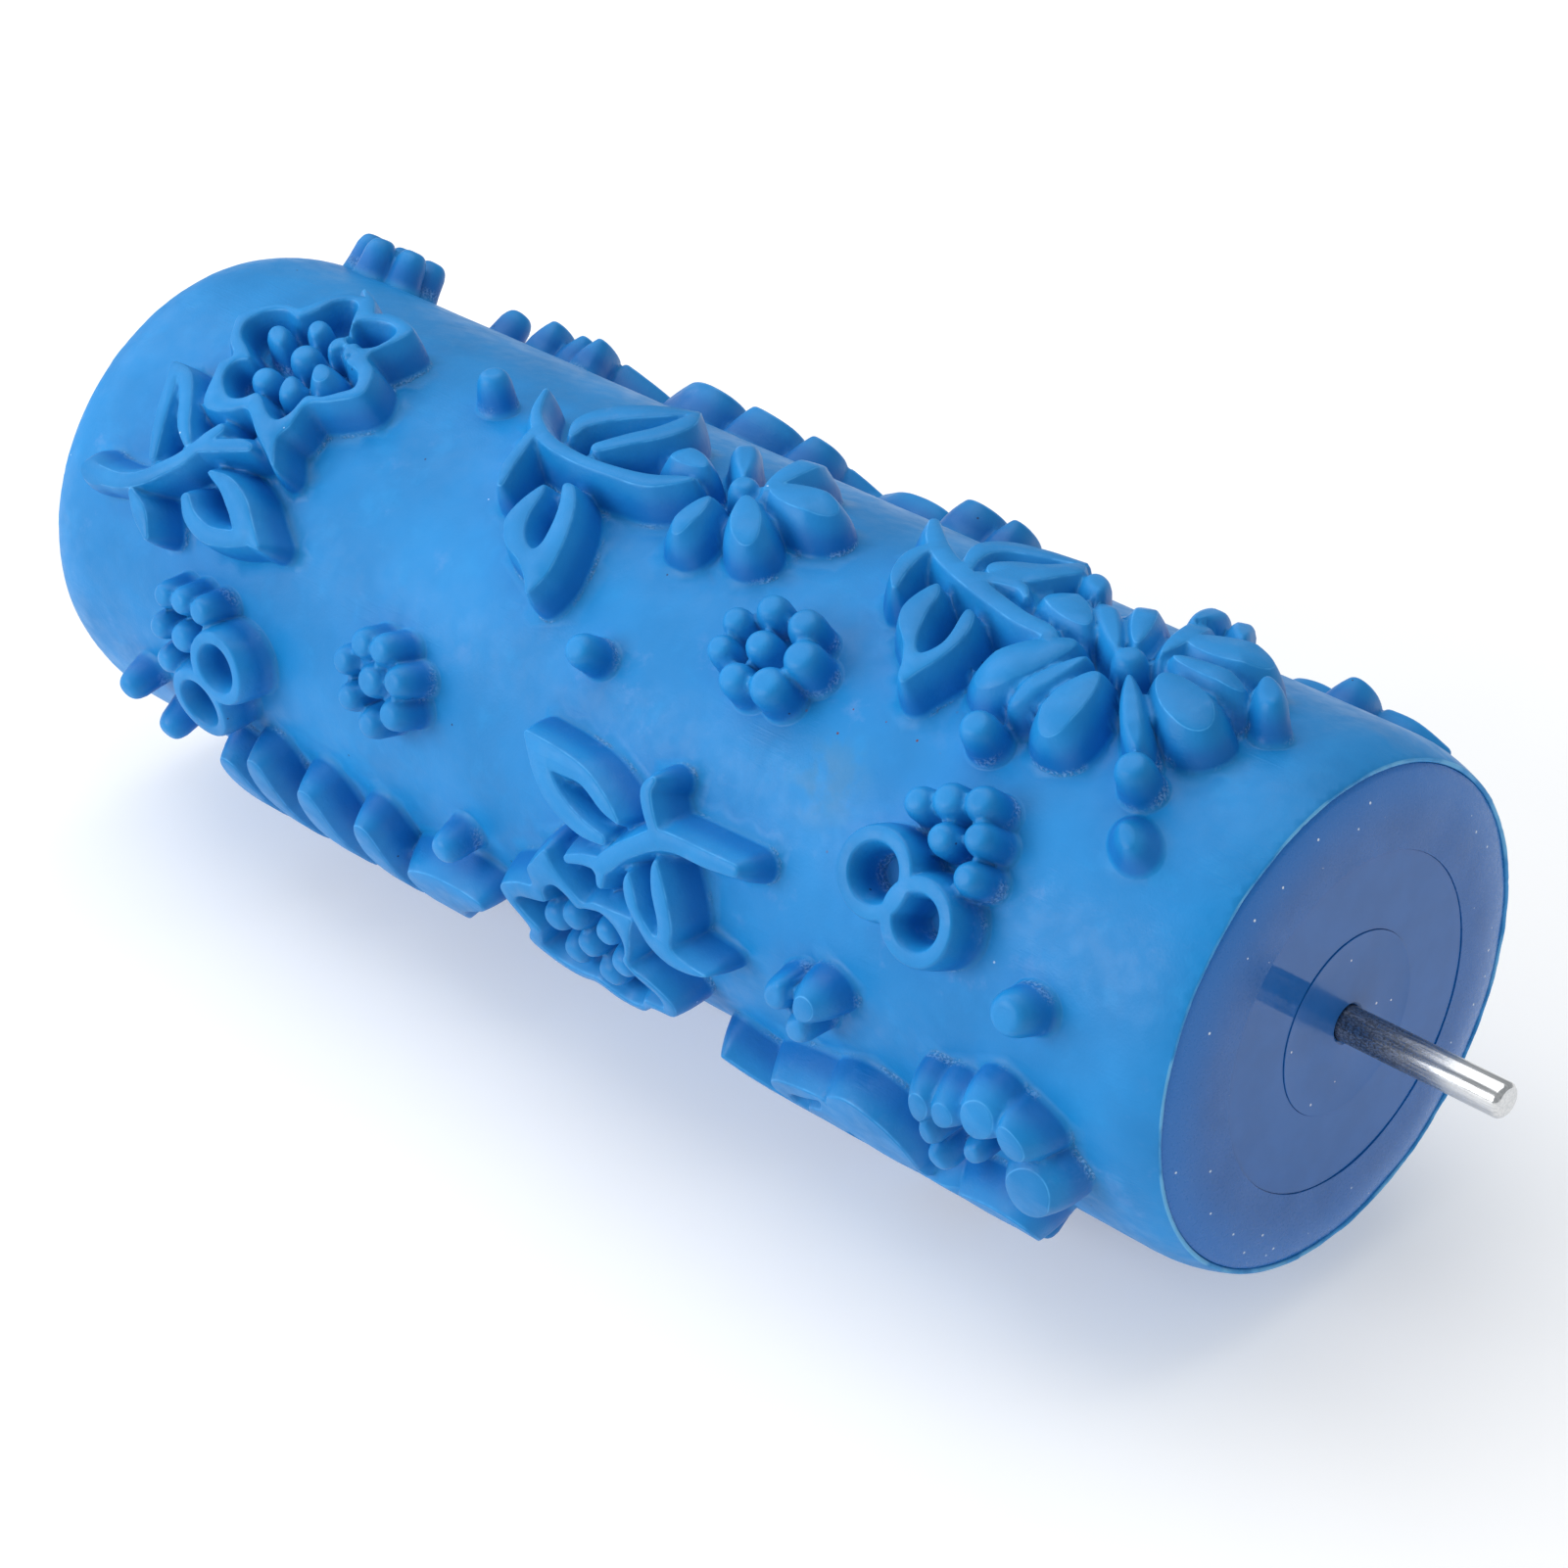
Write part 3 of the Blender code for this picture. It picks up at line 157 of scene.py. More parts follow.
# The relief, as (mm along the roller, degrees round it):
#   outline, hole: a smooth closed curve through the points; a hole is sunk into what comes before it
#   stroke: a line of (x, angle, width)
#   petal: an oval (x, angle, length, width, turn), wider at the end that points away from the flower
#   block: the same without the wider end
#   dot: (x, angle, radius)
#   ring: (x, angle, outer radius, inner radius)
#   low: a shallow bump (x, angle, length, width)
MOTIFS = {
    "wild_rose": [
        ("outline", [
            (-70.2, 21.5), (-68.8, 17), (-66.5, 14.2), (-64, 13.4), (-63.1, 8.5), (-62, 4.8), (-59.7, 3),
            (-57.3, 4.6), (-55.6, 6.6), (-53.8, 4.7), (-51.2, 4.6), (-48.4, 6.4), (-48.2, 11),
            (-49.2, 17.2), (-46.2, 20.2), (-44.7, 25.8), (-47.6, 30), (-50.6, 32.8), (-50.6, 38),
            (-51.2, 41.5), (-49.2, 47), (-52.2, 44.4), (-55, 42), (-58.2, 38.8), (-60.2, 40.6),
            (-62.8, 42), (-65, 41.4), (-66.2, 36), (-66.8, 32.4), (-66, 29.8), (-68, 27.5), (-69.2, 24.8)]),
        ("hole", [
            (-68.2, 21.6), (-67.2, 17.8), (-65.2, 15.8), (-62.7, 16.1), (-61.7, 12), (-61.4, 8),
            (-60.1, 5.8), (-58.5, 6.6), (-57, 10), (-55.2, 14), (-54.6, 17.3), (-51.6, 18.6), (-51, 20.8),
            (-48.3, 22), (-46.8, 25), (-48, 27.4), (-49.7, 29.7), (-51.8, 31), (-52.1, 35.4),
            (-53.1, 37.7), (-54.8, 37.6), (-56.8, 35.8), (-58.6, 34.6), (-60, 36.8), (-61.8, 37.8),
            (-63.5, 36.6), (-64.8, 34.2), (-64.7, 31), (-63.2, 29), (-65, 27), (-67.3, 24.9)]),
        ("hole", [
            (-55.7, 11.2), (-54.2, 8.6), (-52.2, 7.6), (-50.2, 8.6), (-49.5, 11.4), (-50, 14.9),
            (-51.8, 16.4), (-54, 16)]),
        ("stroke", [(-61.2, 1, 0.7), (-58.4, 3.4, 1.3), (-55.8, 6.8, 1)]),
        *several("petal", (-59.2, 16.4, 3.4, 2.3, 52), (-62.8, 21.7, 4, 2.4, 30)),
        ("dot", (-57.4, 23, 1.75)),
        ("petal", (-52.6, 25.4, 4, 3, 35)),
        ("dot", (-59.7, 31.2, 1.6)),
        *several("petal",
            (-55.2, 30.8, 3.6, 2.6, 55), (-54.6, 18, 2.8, 1.9, 80), (-52.2, 17.8, 2.6, 1.7, 70)),
    ],
    "rose_stem": [
        ("petal", (-77, 63.4, 5.4, 3.2, 4)),
        ("stroke", [
            (-77, 63.2, 2.6), (-72.5, 62.4, 2.2), (-68.8, 59.9, 2), (-66, 56.4, 2), (-63.9, 53.4, 2),
            (-62.2, 49.6, 1.9), (-61.3, 47, 1.8), (-60.2, 44.3, 1.5)]),
        ("stroke", [(-62.4, 49.8, 1.6), (-58.8, 47.3, 1.9), (-56, 45.6, 1.9), (-54.6, 45.2, 1.3)]),
        ("stroke", [
            (-73, 36.9, 1), (-70.2, 38.1, 2.2), (-67.8, 42, 2.2), (-65.9, 46.6, 2.1), (-64, 49.4, 1.5)]),
        ("stroke", [
            (-73, 36.9, 1), (-71.3, 41, 2), (-70.2, 46, 2.1), (-69.1, 51, 1.9), (-68.2, 55, 1.4)]),
        ("stroke", [
            (-58.4, 52.9, 0.8), (-55.2, 53.6, 2.3), (-52, 56.3, 3.3), (-49.6, 59.6, 3.2), (-46.6, 61.6, 1)]),
        ("stroke", [
            (-60.5, 59.6, 1.7), (-58.8, 62.4, 2.2), (-55.6, 64, 2.4), (-52.4, 63.2, 2.4), (-49, 61.4, 2)]),
        ("stroke", [(-69.6, 63.3, 1.2), (-67.2, 66.4, 2.5), (-65.2, 70, 1.2)]),
    ],
    "leafy_branch": [
        ("stroke", [
            (-25.4, 6.6, 0.9), (-23.2, 12.6, 1.5), (-20.4, 16.3, 1.9), (-17, 18.2, 1.9), (-12, 18.8, 1.8),
            (-7, 18.2, 1.9), (-2.4, 16.8, 2.4), (0.4, 14, 1.8), (1.8, 12.2, 0.9)]),
        ("stroke", [(-20.6, 17.5, 1.7), (-20, 22, 1.7), (-19.3, 26.8, 1.8), (-18.4, 30.4, 1.1)]),
        ("stroke", [
            (-8.5, -6.2, 1), (-11.8, -1.2, 3.1), (-15.1, 4.6, 3.4), (-16.8, 10.2, 2.6), (-16.2, 14.4, 1)]),
        ("stroke", [(-8.5, -6.2, 1), (-7.4, -0.5, 2.9), (-8, 5, 2.9), (-9.9, 10, 2.5), (-11.8, 14.4, 2)]),
        ("outline", [
            (-13.3, 26.7), (-14.3, 31), (-14.6, 35.5), (-13.9, 38), (-12.2, 40.8), (-9.3, 42.5),
            (-7.2, 45), (-5.7, 47.3), (-4.7, 44), (-4.5, 40.5), (-5.2, 35), (-6.5, 30), (-8.2, 26.3),
            (-10, 24.2), (-11.2, 25.2), (-9.8, 28.5), (-8.6, 32.5), (-8, 37), (-8.6, 39), (-10.5, 37.3),
            (-11.8, 33.5), (-12.3, 28.5)]),
    ],
    "daisy": [
        ("dot", (7.1, 7.7, 1.6)),
        *several("petal",
            (-1.4, 7.4, 6.6, 3.9, 5), (3, 0.2, 10, 2.9, 48), (9.6, -1.6, 12, 3.6, 84),
            (14.6, 4.8, 9.8, 5.4, -8), (12, 15.3, 9, 4.3, 46), (5.9, 19.4, 7.2, 3.3, 90)),
        *several("dot", (4, 51.8, 1.8), (-33.4, 8.3, 1.8)),
    ],
    "big_flower": [
        ("dot", (62.6, 7.7, 1.7)),
        *several("petal",
            (71.8, 12, 10.4, 5.6, 24), (70.8, 3.2, 9.8, 3.2, -4), (69.4, -5.4, 10.4, 6.2, -22),
            (64.3, -4, 11.4, 3.1, 80), (59.2, -2.6, 11.4, 3.4, 58), (56.8, 1.6, 12.4, 2.6, 42),
            (51.8, 2.5, 9.6, 4.8, 24), (50, -8.3, 5.4, 2.8, 45), (53.6, 17.8, 12, 5.2, 122),
            (57.7, 19.6, 10, 2.7, 110), (61.9, 22, 10.2, 5, 90), (68.2, 18, 10.4, 2.3, 47),
            (77.6, 1, 6, 2.8, 45), (61.8, -15.6, 8.4, 2.9, 80), (66.4, -15.2, 7, 2.4, 55)),
        *several("dot", (54.6, 33.2, 1.9), (73, 28, 1.9)),
        ("low", (76.1, 38.6, 5.4, 3.8)),
    ],
    "flower_stem": [
        ("stroke", [
            (28.6, -4.8, 1.5), (31.5, 0, 2.4), (35, 3.8, 2.6), (39, 6.2, 2.6), (44, 8.5, 2.4),
            (49, 10.3, 2.3), (53, 10.8, 2.1), (55.3, 12.8, 1)]),
        ("stroke", [(40.5, 5, 2), (43, 3.4, 1.8), (45.3, 3, 1.6), (47, 4.8, 0.8)]),
        ("stroke", [(32.6, 2, 1.4), (32.2, 7, 2.2), (33, 12, 2), (34.3, 15.5, 1)]),
        ("outline", [
            (37.9, 10.8), (37.1, 14.5), (37.1, 19), (38.4, 22.4), (40.5, 25.2), (42, 28.2), (43, 31.5),
            (44.2, 32.4), (45, 29.5), (46, 25.5), (46.4, 21), (46, 17), (44.8, 13.8), (43.5, 13.4),
            (43.6, 15.5), (44.4, 19.5), (44.5, 22.8), (43.4, 25.7), (42, 23.8), (40.3, 18), (39.4, 13)]),
        ("outline", [
            (39.5, 0), (41, -3.2), (43.3, -6), (44.6, -9.5), (45.6, -13.5), (47.6, -9.5), (47, -5),
            (46, -0.5), (44.5, 2), (41.5, 3.5), (40, 2.5)]),
        ("stroke", [
            (46, -13, 1), (42, -10.4, 2.4), (38.5, -7.5, 2.8), (36.8, -3.5, 2.8), (37.4, 1, 2),
            (38.5, 3.8, 1.2)]),
    ],
    "ring_pair_far": [
        *several("ring", (-50.8, 89.5, 4.7, 3.1), (-55.2, 100.5, 4.8, 3.2)),
        *several("dot",
            (-61.2, 80.2, 1.5), (-58, 79.6, 1.6), (-54.4, 79.6, 1.7), (-57.6, 87.4, 1.8),
            (-61.8, 87.4, 1.5), (-61, 94.6, 1.6)),
    ],
    "berries_far": [
        *several("dot",
            (-24.2, 75.6, 1.9), (-26.6, 69.4, 1.7), (-23.4, 68.8, 1.75), (-20.2, 73.4, 1.75),
            (-20.2, 80.2, 1.8), (-23.6, 84.2, 1.7), (-27.4, 80.9, 1.6), (-29, 74.3, 1.6)),
    ],
    "berries_mid": [
        *several("dot",
            (23.6, 29.6, 1.75), (20.7, 34.5, 1.5), (21.1, 40.4, 1.5), (25.3, 36.6, 1.7),
            (24.7, 44.2, 1.75), (28.4, 29.6, 1.9), (30.8, 35.5, 2.1), (29, 42.7, 2.1)),
    ],
    "ring_pair_near": [
        *several("ring", (52.2, 63.5, 5, 3.2), (59.1, 67.8, 4.8, 3)),
        *several("dot",
            (53.4, 49.4, 1.6), (56.6, 46.8, 1.8), (60.2, 44.8, 1.8), (62, 50.4, 1.6), (62.8, 57.3, 1.6),
            (58, 53.2, 1.6), (72.6, 75.3, 2.3)),
    ],
    "three_petal_bud": [
        *several("petal",
            (41.2, 94.9, 4.6, 2.9, 118), (45.6, 94.3, 4.8, 3.6, 122), (44, 100.5, 4.4, 2.8, 125)),
    ],
    "split_bud": [
        *several("petal",
            (69.8, 98.2, 6.4, 5, 118), (74.4, 99, 5.2, 4.4, 60), (64.8, 101.5, 5, 3.6, 118),
            (61.4, 102.6, 5.2, 3.4, 105), (75.2, 111.2, 9.6, 6.4, 116), (68.2, 107.7, 3.6, 2.2, 120),
            (61.7, 108.7, 3.8, 2.2, 95), (61.6, 116.8, 3.8, 2.8, 95)),
    ],
    "vine": [
        ("stroke", [(1.6, 69.9, 1.1), (6, 71.6, 2.9), (11, 72.2, 2.2), (14.8, 75.2, 2), (17, 77, 0.8)]),
        ("stroke", [
            (1.6, 69.9, 1.1), (4.6, 74.6, 2.8), (7.5, 78.8, 2.8), (11.5, 81.4, 2.4), (15, 81.8, 1.6)]),
        ("stroke", [
            (34.4, 74.8, 1.8), (30, 75.4, 2.2), (26, 75.6, 2.2), (23, 76.6, 2.6), (20.5, 79.2, 2.4),
            (18, 82.3, 2.4), (15.8, 86, 2.5), (14.8, 88, 2)]),
        ("stroke", [(14.5, 87, 2), (12.2, 87.8, 1.6), (9.8, 89.4, 1.3)]),
        ("stroke", [(15.2, 87.5, 2), (15, 91, 1.3)]),
        ("stroke", [(22.6, 75.5, 1.6), (21, 72, 1.8), (20.2, 69, 1.8), (20.8, 66.8, 1.2)]),
        ("outline", [
            (19.3, 85.3), (18.6, 88), (19, 92), (20.5, 95.8), (22.3, 99.2), (25.2, 101.3), (28.5, 100.8),
            (31.3, 98.8), (28.5, 98.2), (26, 96.8), (26.3, 92), (25.8, 87.5), (24.6, 82.8), (23.4, 80),
            (22.7, 82), (22.9, 86.5), (23.8, 92), (23.5, 95.6), (22.2, 94.4), (21, 91.5), (20.2, 87)]),
        ("dot", (-13, 105.5, 1.8)),
    ],
    "low_rose": [
        ("outline", [
            (6.3, 89.6), (4, 93.8), (3, 96.2), (3.4, 99.4), (0.6, 101), (-2.6, 104.4), (-2.2, 108),
            (0, 113.4), (-1.8, 119.4), (0.6, 124.2), (4.6, 125.6), (8.6, 122.8), (11.4, 125),
            (15.4, 124.4), (18.2, 120), (22.2, 118.4), (23.4, 113.4), (20.6, 109.2), (18, 107.6),
            (18.8, 102.6), (19.4, 98), (19.8, 94.8), (16.6, 95.2), (13.6, 95.8), (11.8, 97), (9.2, 94.6),
            (7.5, 92.2)]),
        ("hole", [
            (5.4, 102.4), (5.3, 100.2), (6, 98.2), (7.5, 97), (9.2, 97.8), (10.8, 99.6), (12.4, 98.6),
            (14.8, 97.7), (16.7, 99), (17.6, 101.6), (17.4, 104.6), (16.7, 107.5), (18.4, 110.2),
            (21, 113), (20.6, 116.6), (17.6, 117.6), (16, 121), (13.6, 122.6), (11.4, 121.2),
            (9.2, 119.8), (6.4, 121.4), (3, 121.8), (0.8, 119.4), (1.6, 115.4), (2.2, 112.4),
            (0.6, 109.6), (-0.4, 107), (0.8, 105), (3, 103.8)]),
        *several("dot",
            (9.1, 103.9, 1.7), (5.7, 106.9, 1.8), (14.4, 103.3, 1.5), (10.2, 110.3, 1.6),
            (6.7, 115.7, 1.7), (15.6, 110.6, 1.7), (12.2, 116.6, 1.8)),
    ],
    "strays": [
        ("dot", (-65.2, -53.5, 1.9)),
        *several("block",
            (-57.2, -53.5, 7.5, 3.4, 78), (-52.8, -54.5, 6, 3, 80), (-48.8, -52.5, 7.5, 3, 76)),
        ("stroke", [(-47, -57, 1.8), (-43.5, -61, 2), (-38.5, -67, 1.4)]),
        ("outline", [
            (-38, -60), (-35, -52.5), (-31.5, -47.5), (-28, -45.5), (-25.6, -48), (-25, -54), (-27, -60),
            (-32, -64)]),
        ("outline", [
            (-23.4, -58), (-23.2, -51), (-21.4, -47), (-18.5, -48), (-16.2, -52), (-16, -58), (-19, -62)]),
        ("outline", [(-14.4, -58), (-14.2, -53), (-12.4, -49.5), (-10, -52), (-9.4, -57), (-11, -62)]),
        ("stroke", [(-9.4, -60, 1.8), (-7.5, -62.5, 1.8), (-4, -67, 1.4)]),
        ("outline", [
            (-6, -65), (-3, -60.5), (0, -58), (3.5, -57.5), (6, -59), (6.4, -61.5), (4, -66), (-1, -69)]),
        *several("block",
            (14.2, -54, 8.5, 6.2, 90), (20, -54, 7, 3.4, 90), (59.5, -65.5, 7, 3.4, 10),
            (67, -61, 8.4, 4.6, 84)),
        ("stroke", [(70.5, -63.5, 2.8), (73.5, -64, 3.2), (77, -66.5, 1.8)]),
        *several("dot", (-71.6, 109.5, 1.8), (-67.1, 118.4, 1.8)),
        ("stroke", [(-54.9, 118, 3.4), (-55.1, 121, 4.6), (-55.4, 128, 4.8), (-55.6, 140, 3)]),
        ("stroke", [(-48, 112.5, 3.2), (-48.2, 116, 4.2), (-48.4, 125, 4.4), (-48.6, 140, 3)]),
        ("stroke", [(-38.8, 113.5, 3.4), (-39, 117, 4.6), (-39.4, 126, 5), (-39.8, 140, 3)]),
        ("stroke", [(-29, 114.5, 3.2), (-29.2, 118, 4.4), (-29.6, 125, 4.8), (-30, 138, 3)]),
        ("outline", [
            (-24, 122), (-20.5, 117.5), (-15, 115), (-9.5, 115.5), (-9, 118.5), (-11.5, 122),
            (-15.5, 127), (-19, 134), (-21, 140), (-24.5, 140), (-25, 131)]),
        ("outline", [
            (44.8, 120), (46.2, 115), (49.5, 112.4), (53.5, 114), (56, 119), (56.4, 125), (55, 132),
            (50, 135), (46, 132), (44.4, 126)]),
        ("outline", [
            (60, 132), (63, 128), (67, 125.5), (70.5, 126.5), (71.6, 130), (70.5, 136), (67, 141),
            (61, 141)]),
    ],
}

# How the motifs repeat round the sleeve: (motif, shift along, turn, 1 as drawn or -1 end for end)
LAYOUT = [
    *((motif, 0, 0, 1) for motif in MOTIFS),
    ("berries_far", -55.6, -115, 1), ("berries_far", 6, 90, 1), ("berries_far", -6, -215, 1),
    ("berries_far", -45, -234, 1), ("big_flower", -12, 142, 1), ("flower_stem", -1.2, 131, 1),
    ("three_petal_bud", -84, 66, 1), ("three_petal_bud", -38, 76, 1),
    ("leafy_branch", -30, -122, -1), ("daisy", -30, -122, -1),
    ("ring_pair_near", 78, -151, -1), ("berries_mid", -41, -128, -1), ("ring_pair_far", 122, -184, 1),
    ("three_petal_bud", 7, -186, 1), ("vine", 44, -234, 1), ("low_rose", 44, -234, 1),
    ("split_bud", -139, -247, 1), ("ring_pair_near", -62, -202, 1), ("three_petal_bud", -15, -234, 1),
]


# --- the pattern, unrolled: distances in mm on a sheet of (along, round) ---

def smooth_curve(points, closed, steps=6):
    """Catmull-Rom curve through rows of numbers."""
    rows = np.array(points, float)
    count = len(rows)
    before = np.roll(rows, 1, 0) if closed else np.vstack([rows[:1], rows[:-1]])
    after = np.roll(rows, -1, 0) if closed else np.vstack([rows[1:], rows[-1:]])
    after2 = np.roll(rows, -2, 0) if closed else np.vstack([rows[2:], rows[-1:], rows[-1:]])
    curve = []
    for i in range(count if closed else count - 1):
        for t in np.arange(steps) / steps:
            curve.append(0.5 * (2 * rows[i] + (after[i] - before[i]) * t
                                + (2 * before[i] - 5 * rows[i] + 4 * after[i] - after2[i]) * t ** 2
                                + (3 * rows[i] - before[i] - 3 * after[i] + after2[i]) * t ** 3))
    if not closed:
        curve.append(rows[-1])
    return np.array(curve)


def from_segment(start, end, x, y):
    """Distance to a segment, and how far along it, from 0 to 1, its nearest point lies."""
    dx, dy = end[0] - start[0], end[1] - start[1]
    along = np.clip(((x - start[0]) * dx + (y - start[1]) * dy) / (dx ** 2 + dy ** 2), 0, 1)
    return np.hypot(x - start[0] - along * dx, y - start[1] - along * dy), along


def closed_curve_distance(points, x, y):
    """Signed distance to a closed curve, negative inside."""
    corners = smooth_curve(points, closed=True)
    nearest = np.full(x.shape, 1e9)
    inside = np.zeros(x.shape, bool)
    for (ax, ay), (bx, by) in zip(corners, np.roll(corners, -1, 0)):
        nearest = np.minimum(nearest, from_segment((ax, ay), (bx, by), x, y)[0])
        if ay != by:
            inside ^= ((ay > y) != (by > y)) & (x < (bx - ax) * (y - ay) / (by - ay) + ax)
    return np.where(inside, -nearest, nearest)


def stroke_distance(points, x, y):
    corners = smooth_curve(points, closed=False)
    nearest = np.full(x.shape, 1e9)
    for start, end in zip(corners[:-1], corners[1:]):
        away, along = from_segment(start, end, x, y)
        nearest = np.minimum(nearest, away - (start[2] + along * (end[2] - start[2])) / 2)
    return nearest


def along_and_across(centre, turn, x, y):
    return ((x - centre[0]) * cos(turn) + (y - centre[1]) * sin(turn),
            (y - centre[1]) * cos(turn) - (x - centre[0]) * sin(turn))


def oval_distance(centre, length, width, turn, x, y, egg=0.0):
    u, v = along_and_across(centre, turn, x, y)
    v = v / (1 + egg * np.clip(2 * u / length, -1, 1))
    scaled = np.hypot(u / (length / 2), v / (width / 2))
    steep = np.hypot(u / (length / 2) ** 2, v / (width / 2) ** 2)
    return scaled * (scaled - 1) / np.maximum(steep, 1e-9)


def facing_out(shapes):
    """A motif's shapes, each petal with 1 or -1 for the end that points away from the motif's middle."""
    middle = next((v for kind, v in shapes if kind == "dot"), None)
    petals = np.array([v[:2] for kind, v in shapes if kind == "petal"] or [(0, 0)])
    middle = middle[:2] if middle else petals.mean(0)
    for kind, values in shapes:
        if kind == "petal":
            turn = radians(values[4])
            lean = (values[0] - middle[0]) * cos(turn) + (values[1] - middle[1]) * MM_PER_DEGREE * sin(turn)
            values = (*values, 1 if lean > 0 else -1)
        yield kind, values


def shape_distance(kind, values, place, x, y):
    """Signed distance to one shape that is shifted, turned and perhaps flipped end for end."""
    shift, turn, flip = place

    def put(point):
        return flip * point[0] + shift, (point[1] + turn) * MM_PER_DEGREE

    if kind in ("outline", "hole"):
        return closed_curve_distance([put(p) for p in values], x, y)
    if kind == "stroke":
        return stroke_distance([(*put(p), p[2]) for p in values], x, y)
    centre = put(values)
    if kind == "petal":
        return oval_distance(centre, *values[2:4], flip * radians(values[4]), x, y, flip * values[5] * EGG)
    if kind == "block":
        return oval_distance(centre, *values[2:4], flip * radians(values[4]), x, y)
    if kind == "low":
        return oval_distance(centre, *values[2:4], LOW_TURN, x, y)
    away = np.hypot(x - centre[0], y - centre[1])
    if kind == "ring":
        return np.maximum(away - values[2], values[3] - away)
    return away - values[2]


def reach_of(kind, values, place):
    """A box round a shape, with a margin, so that only the sheet near it is worked on."""
    shift, turn, flip = place
    points = values if kind in ("outline", "hole", "stroke") else [values]
    size = 1.0 if kind in ("outline", "hole") else max(p[2] for p in points)
    along = [flip * p[0] + shift for p in points]
    around = [(p[1] + turn) * MM_PER_DEGREE for p in points]
    margin = size + MARGIN
    return min(along) - margin, max(along) + margin, min(around) - margin, max(around) + margin


class Pattern:
    """The sampled sheet: distance to the nearest motif, and that motif's wall and height."""

    def __init__(self):
        self.turn = 360 * MM_PER_DEGREE
        self.low_y = (SEAM_ANGLE - 360) * MM_PER_DEGREE
        self.xs = np.arange(-RIM_X, RIM_X + SAMPLE, SAMPLE)
        self.ys = np.linspace(self.low_y, self.low_y + self.turn, int(self.turn / SAMPLE))
        shape = len(self.xs), len(self.ys)
        self.away = np.full(shape, FAR)
        self.height = np.full(shape, RELIEF_HEIGHT)
        self.walls = [np.full(shape, value) for value in WALLS["stroke"]]
        for motif, *place in LAYOUT:
            for kind, values in facing_out(MOTIFS[motif]):
                self.add(kind, values, place)

    def add(self, kind, values, place):
        low_x, high_x, low_y, high_y = reach_of(kind, values, place)
        window = (slice(*np.searchsorted(self.xs, (low_x, high_x))),
                  slice(*np.searchsorted(self.ys, (low_y, high_y))))
        x, y = np.meshgrid(self.xs[window[0]], self.ys[window[1]], indexing="ij")
        if not x.size:
            return
        away = shape_distance(kind, values, place, x, y)
        part = self.away[window]
        nearer = -away > part if kind == "hole" else away < part
        small = kind == "petal" and values[3] < SMALL_PETAL
        wall = list(WALLS["dot" if small else kind])
        if kind == "dot" or small:
            wall[0] = min(wall[0], DOMED_SHARE * (values[3] / 2 if small else values[2]))
        for grid, value in zip(self.walls, wall):
            grid[window][nearer] = value
        part[nearer] = -away[nearer] if kind == "hole" else away[nearer]
        if kind == "hole":
            return
        height = np.full(part.shape, LOW_RELIEF_HEIGHT if kind == "low" else RELIEF_HEIGHT)
        if kind == "petal" and values[2] > LONG_PETAL:
            shift, turn, flip = place
            centre = flip * values[0] + shift, (values[1] + turn) * MM_PER_DEGREE
            outwards = along_and_across(centre, flip * radians(values[4]), x, y)[0] * flip * values[5]
            height -= DROOP * np.clip(outwards - DROOP_FROM * values[2] / 2, 0, None)
        self.height[window][nearer] = height[nearer]

    def look_up(self, grid, x, y):
        """A grid's value at any point of the sheet."""
        i = np.clip((x - self.xs[0]) / SAMPLE, 0, len(self.xs) - 1.001)
        j = np.clip((y - self.ys[0]) / (self.ys[1] - self.ys[0]), 0, len(self.ys) - 1.001)
        i0, j0 = i.astype(int), j.astype(int)
        u, v = i - i0, j - j0
        return (grid[i0, j0] * (1 - u) * (1 - v) + grid[i0 + 1, j0] * u * (1 - v)
                + grid[i0, j0 + 1] * (1 - u) * v + grid[i0 + 1, j0 + 1] * u * v)


def contour_loops(field, xs, ys, level):
    """Closed loops where the field crosses a level (marching squares)."""
    inside = field < level
    links = {}

    def crossing(a, b):
        t = (level - field[a]) / (field[b] - field[a])
        return (xs[a[0]] + t * (xs[b[0]] - xs[a[0]]), ys[a[1]] + t * (ys[b[1]] - ys[a[1]]))

    mixed = inside[:-1, :-1].astype(int) + inside[1:, :-1] + inside[:-1, 1:] + inside[1:, 1:]
    for i, j in np.argwhere((mixed > 0) & (mixed < 4)).tolist():
        corners = [(i, j), (i + 1, j), (i + 1, j + 1), (i, j + 1)]
        cuts = []
        for k in range(4):
            a, b = corners[k], corners[(k + 1) % 4]
            if inside[a] != inside[b]:
                cuts.append(((min(a, b), max(a, b)), inside[a]))
        leaving = [edge for edge, was_inside in cuts if was_inside]
        entering = [edge for edge, was_inside in cuts if not was_inside]
        if len(cuts) == 4 and cuts[0][1]:
            entering.reverse()
        for start, end in zip(leaving, entering):
            links[start] = end
    loops = []
    while links:
        start, following = links.popitem()
        loop = [start]
        while following != start:
            loop.append(following)
            following = links.pop(following)
        loops.append(np.array([crossing(*edge) for edge in loop]))
    return loops


def thinned(points, tolerance, longest=5):
    """Fewer points of a closed loop, within a tolerance of it and a few steps apart at most."""
    far = int(np.argmax(np.hypot(*(points - points[0]).T)))
    keep = {0, far}
    spans = [(0, far), (far, len(points))]
    while spans:
        first, last = spans.pop()
        if last - first < 2:
            continue
        start, end = points[first], points[last % len(points)]
        run = end - start
        offsets = points[first + 1:last] - start
        along = np.clip(offsets @ run / max(run @ run, 1e-12), 0, 1)
        away = np.hypot(*(offsets - along[:, None] * run).T)
        worst = int(np.argmax(away))
        if away[worst] <= tolerance:
            worst = (last - first) // 2 - 1
        if away[worst] > tolerance or last - first > longest:
            middle = first + 1 + worst
            keep.add(middle)
            spans += [(first, middle), (middle, last)]
    return points[sorted(keep)]


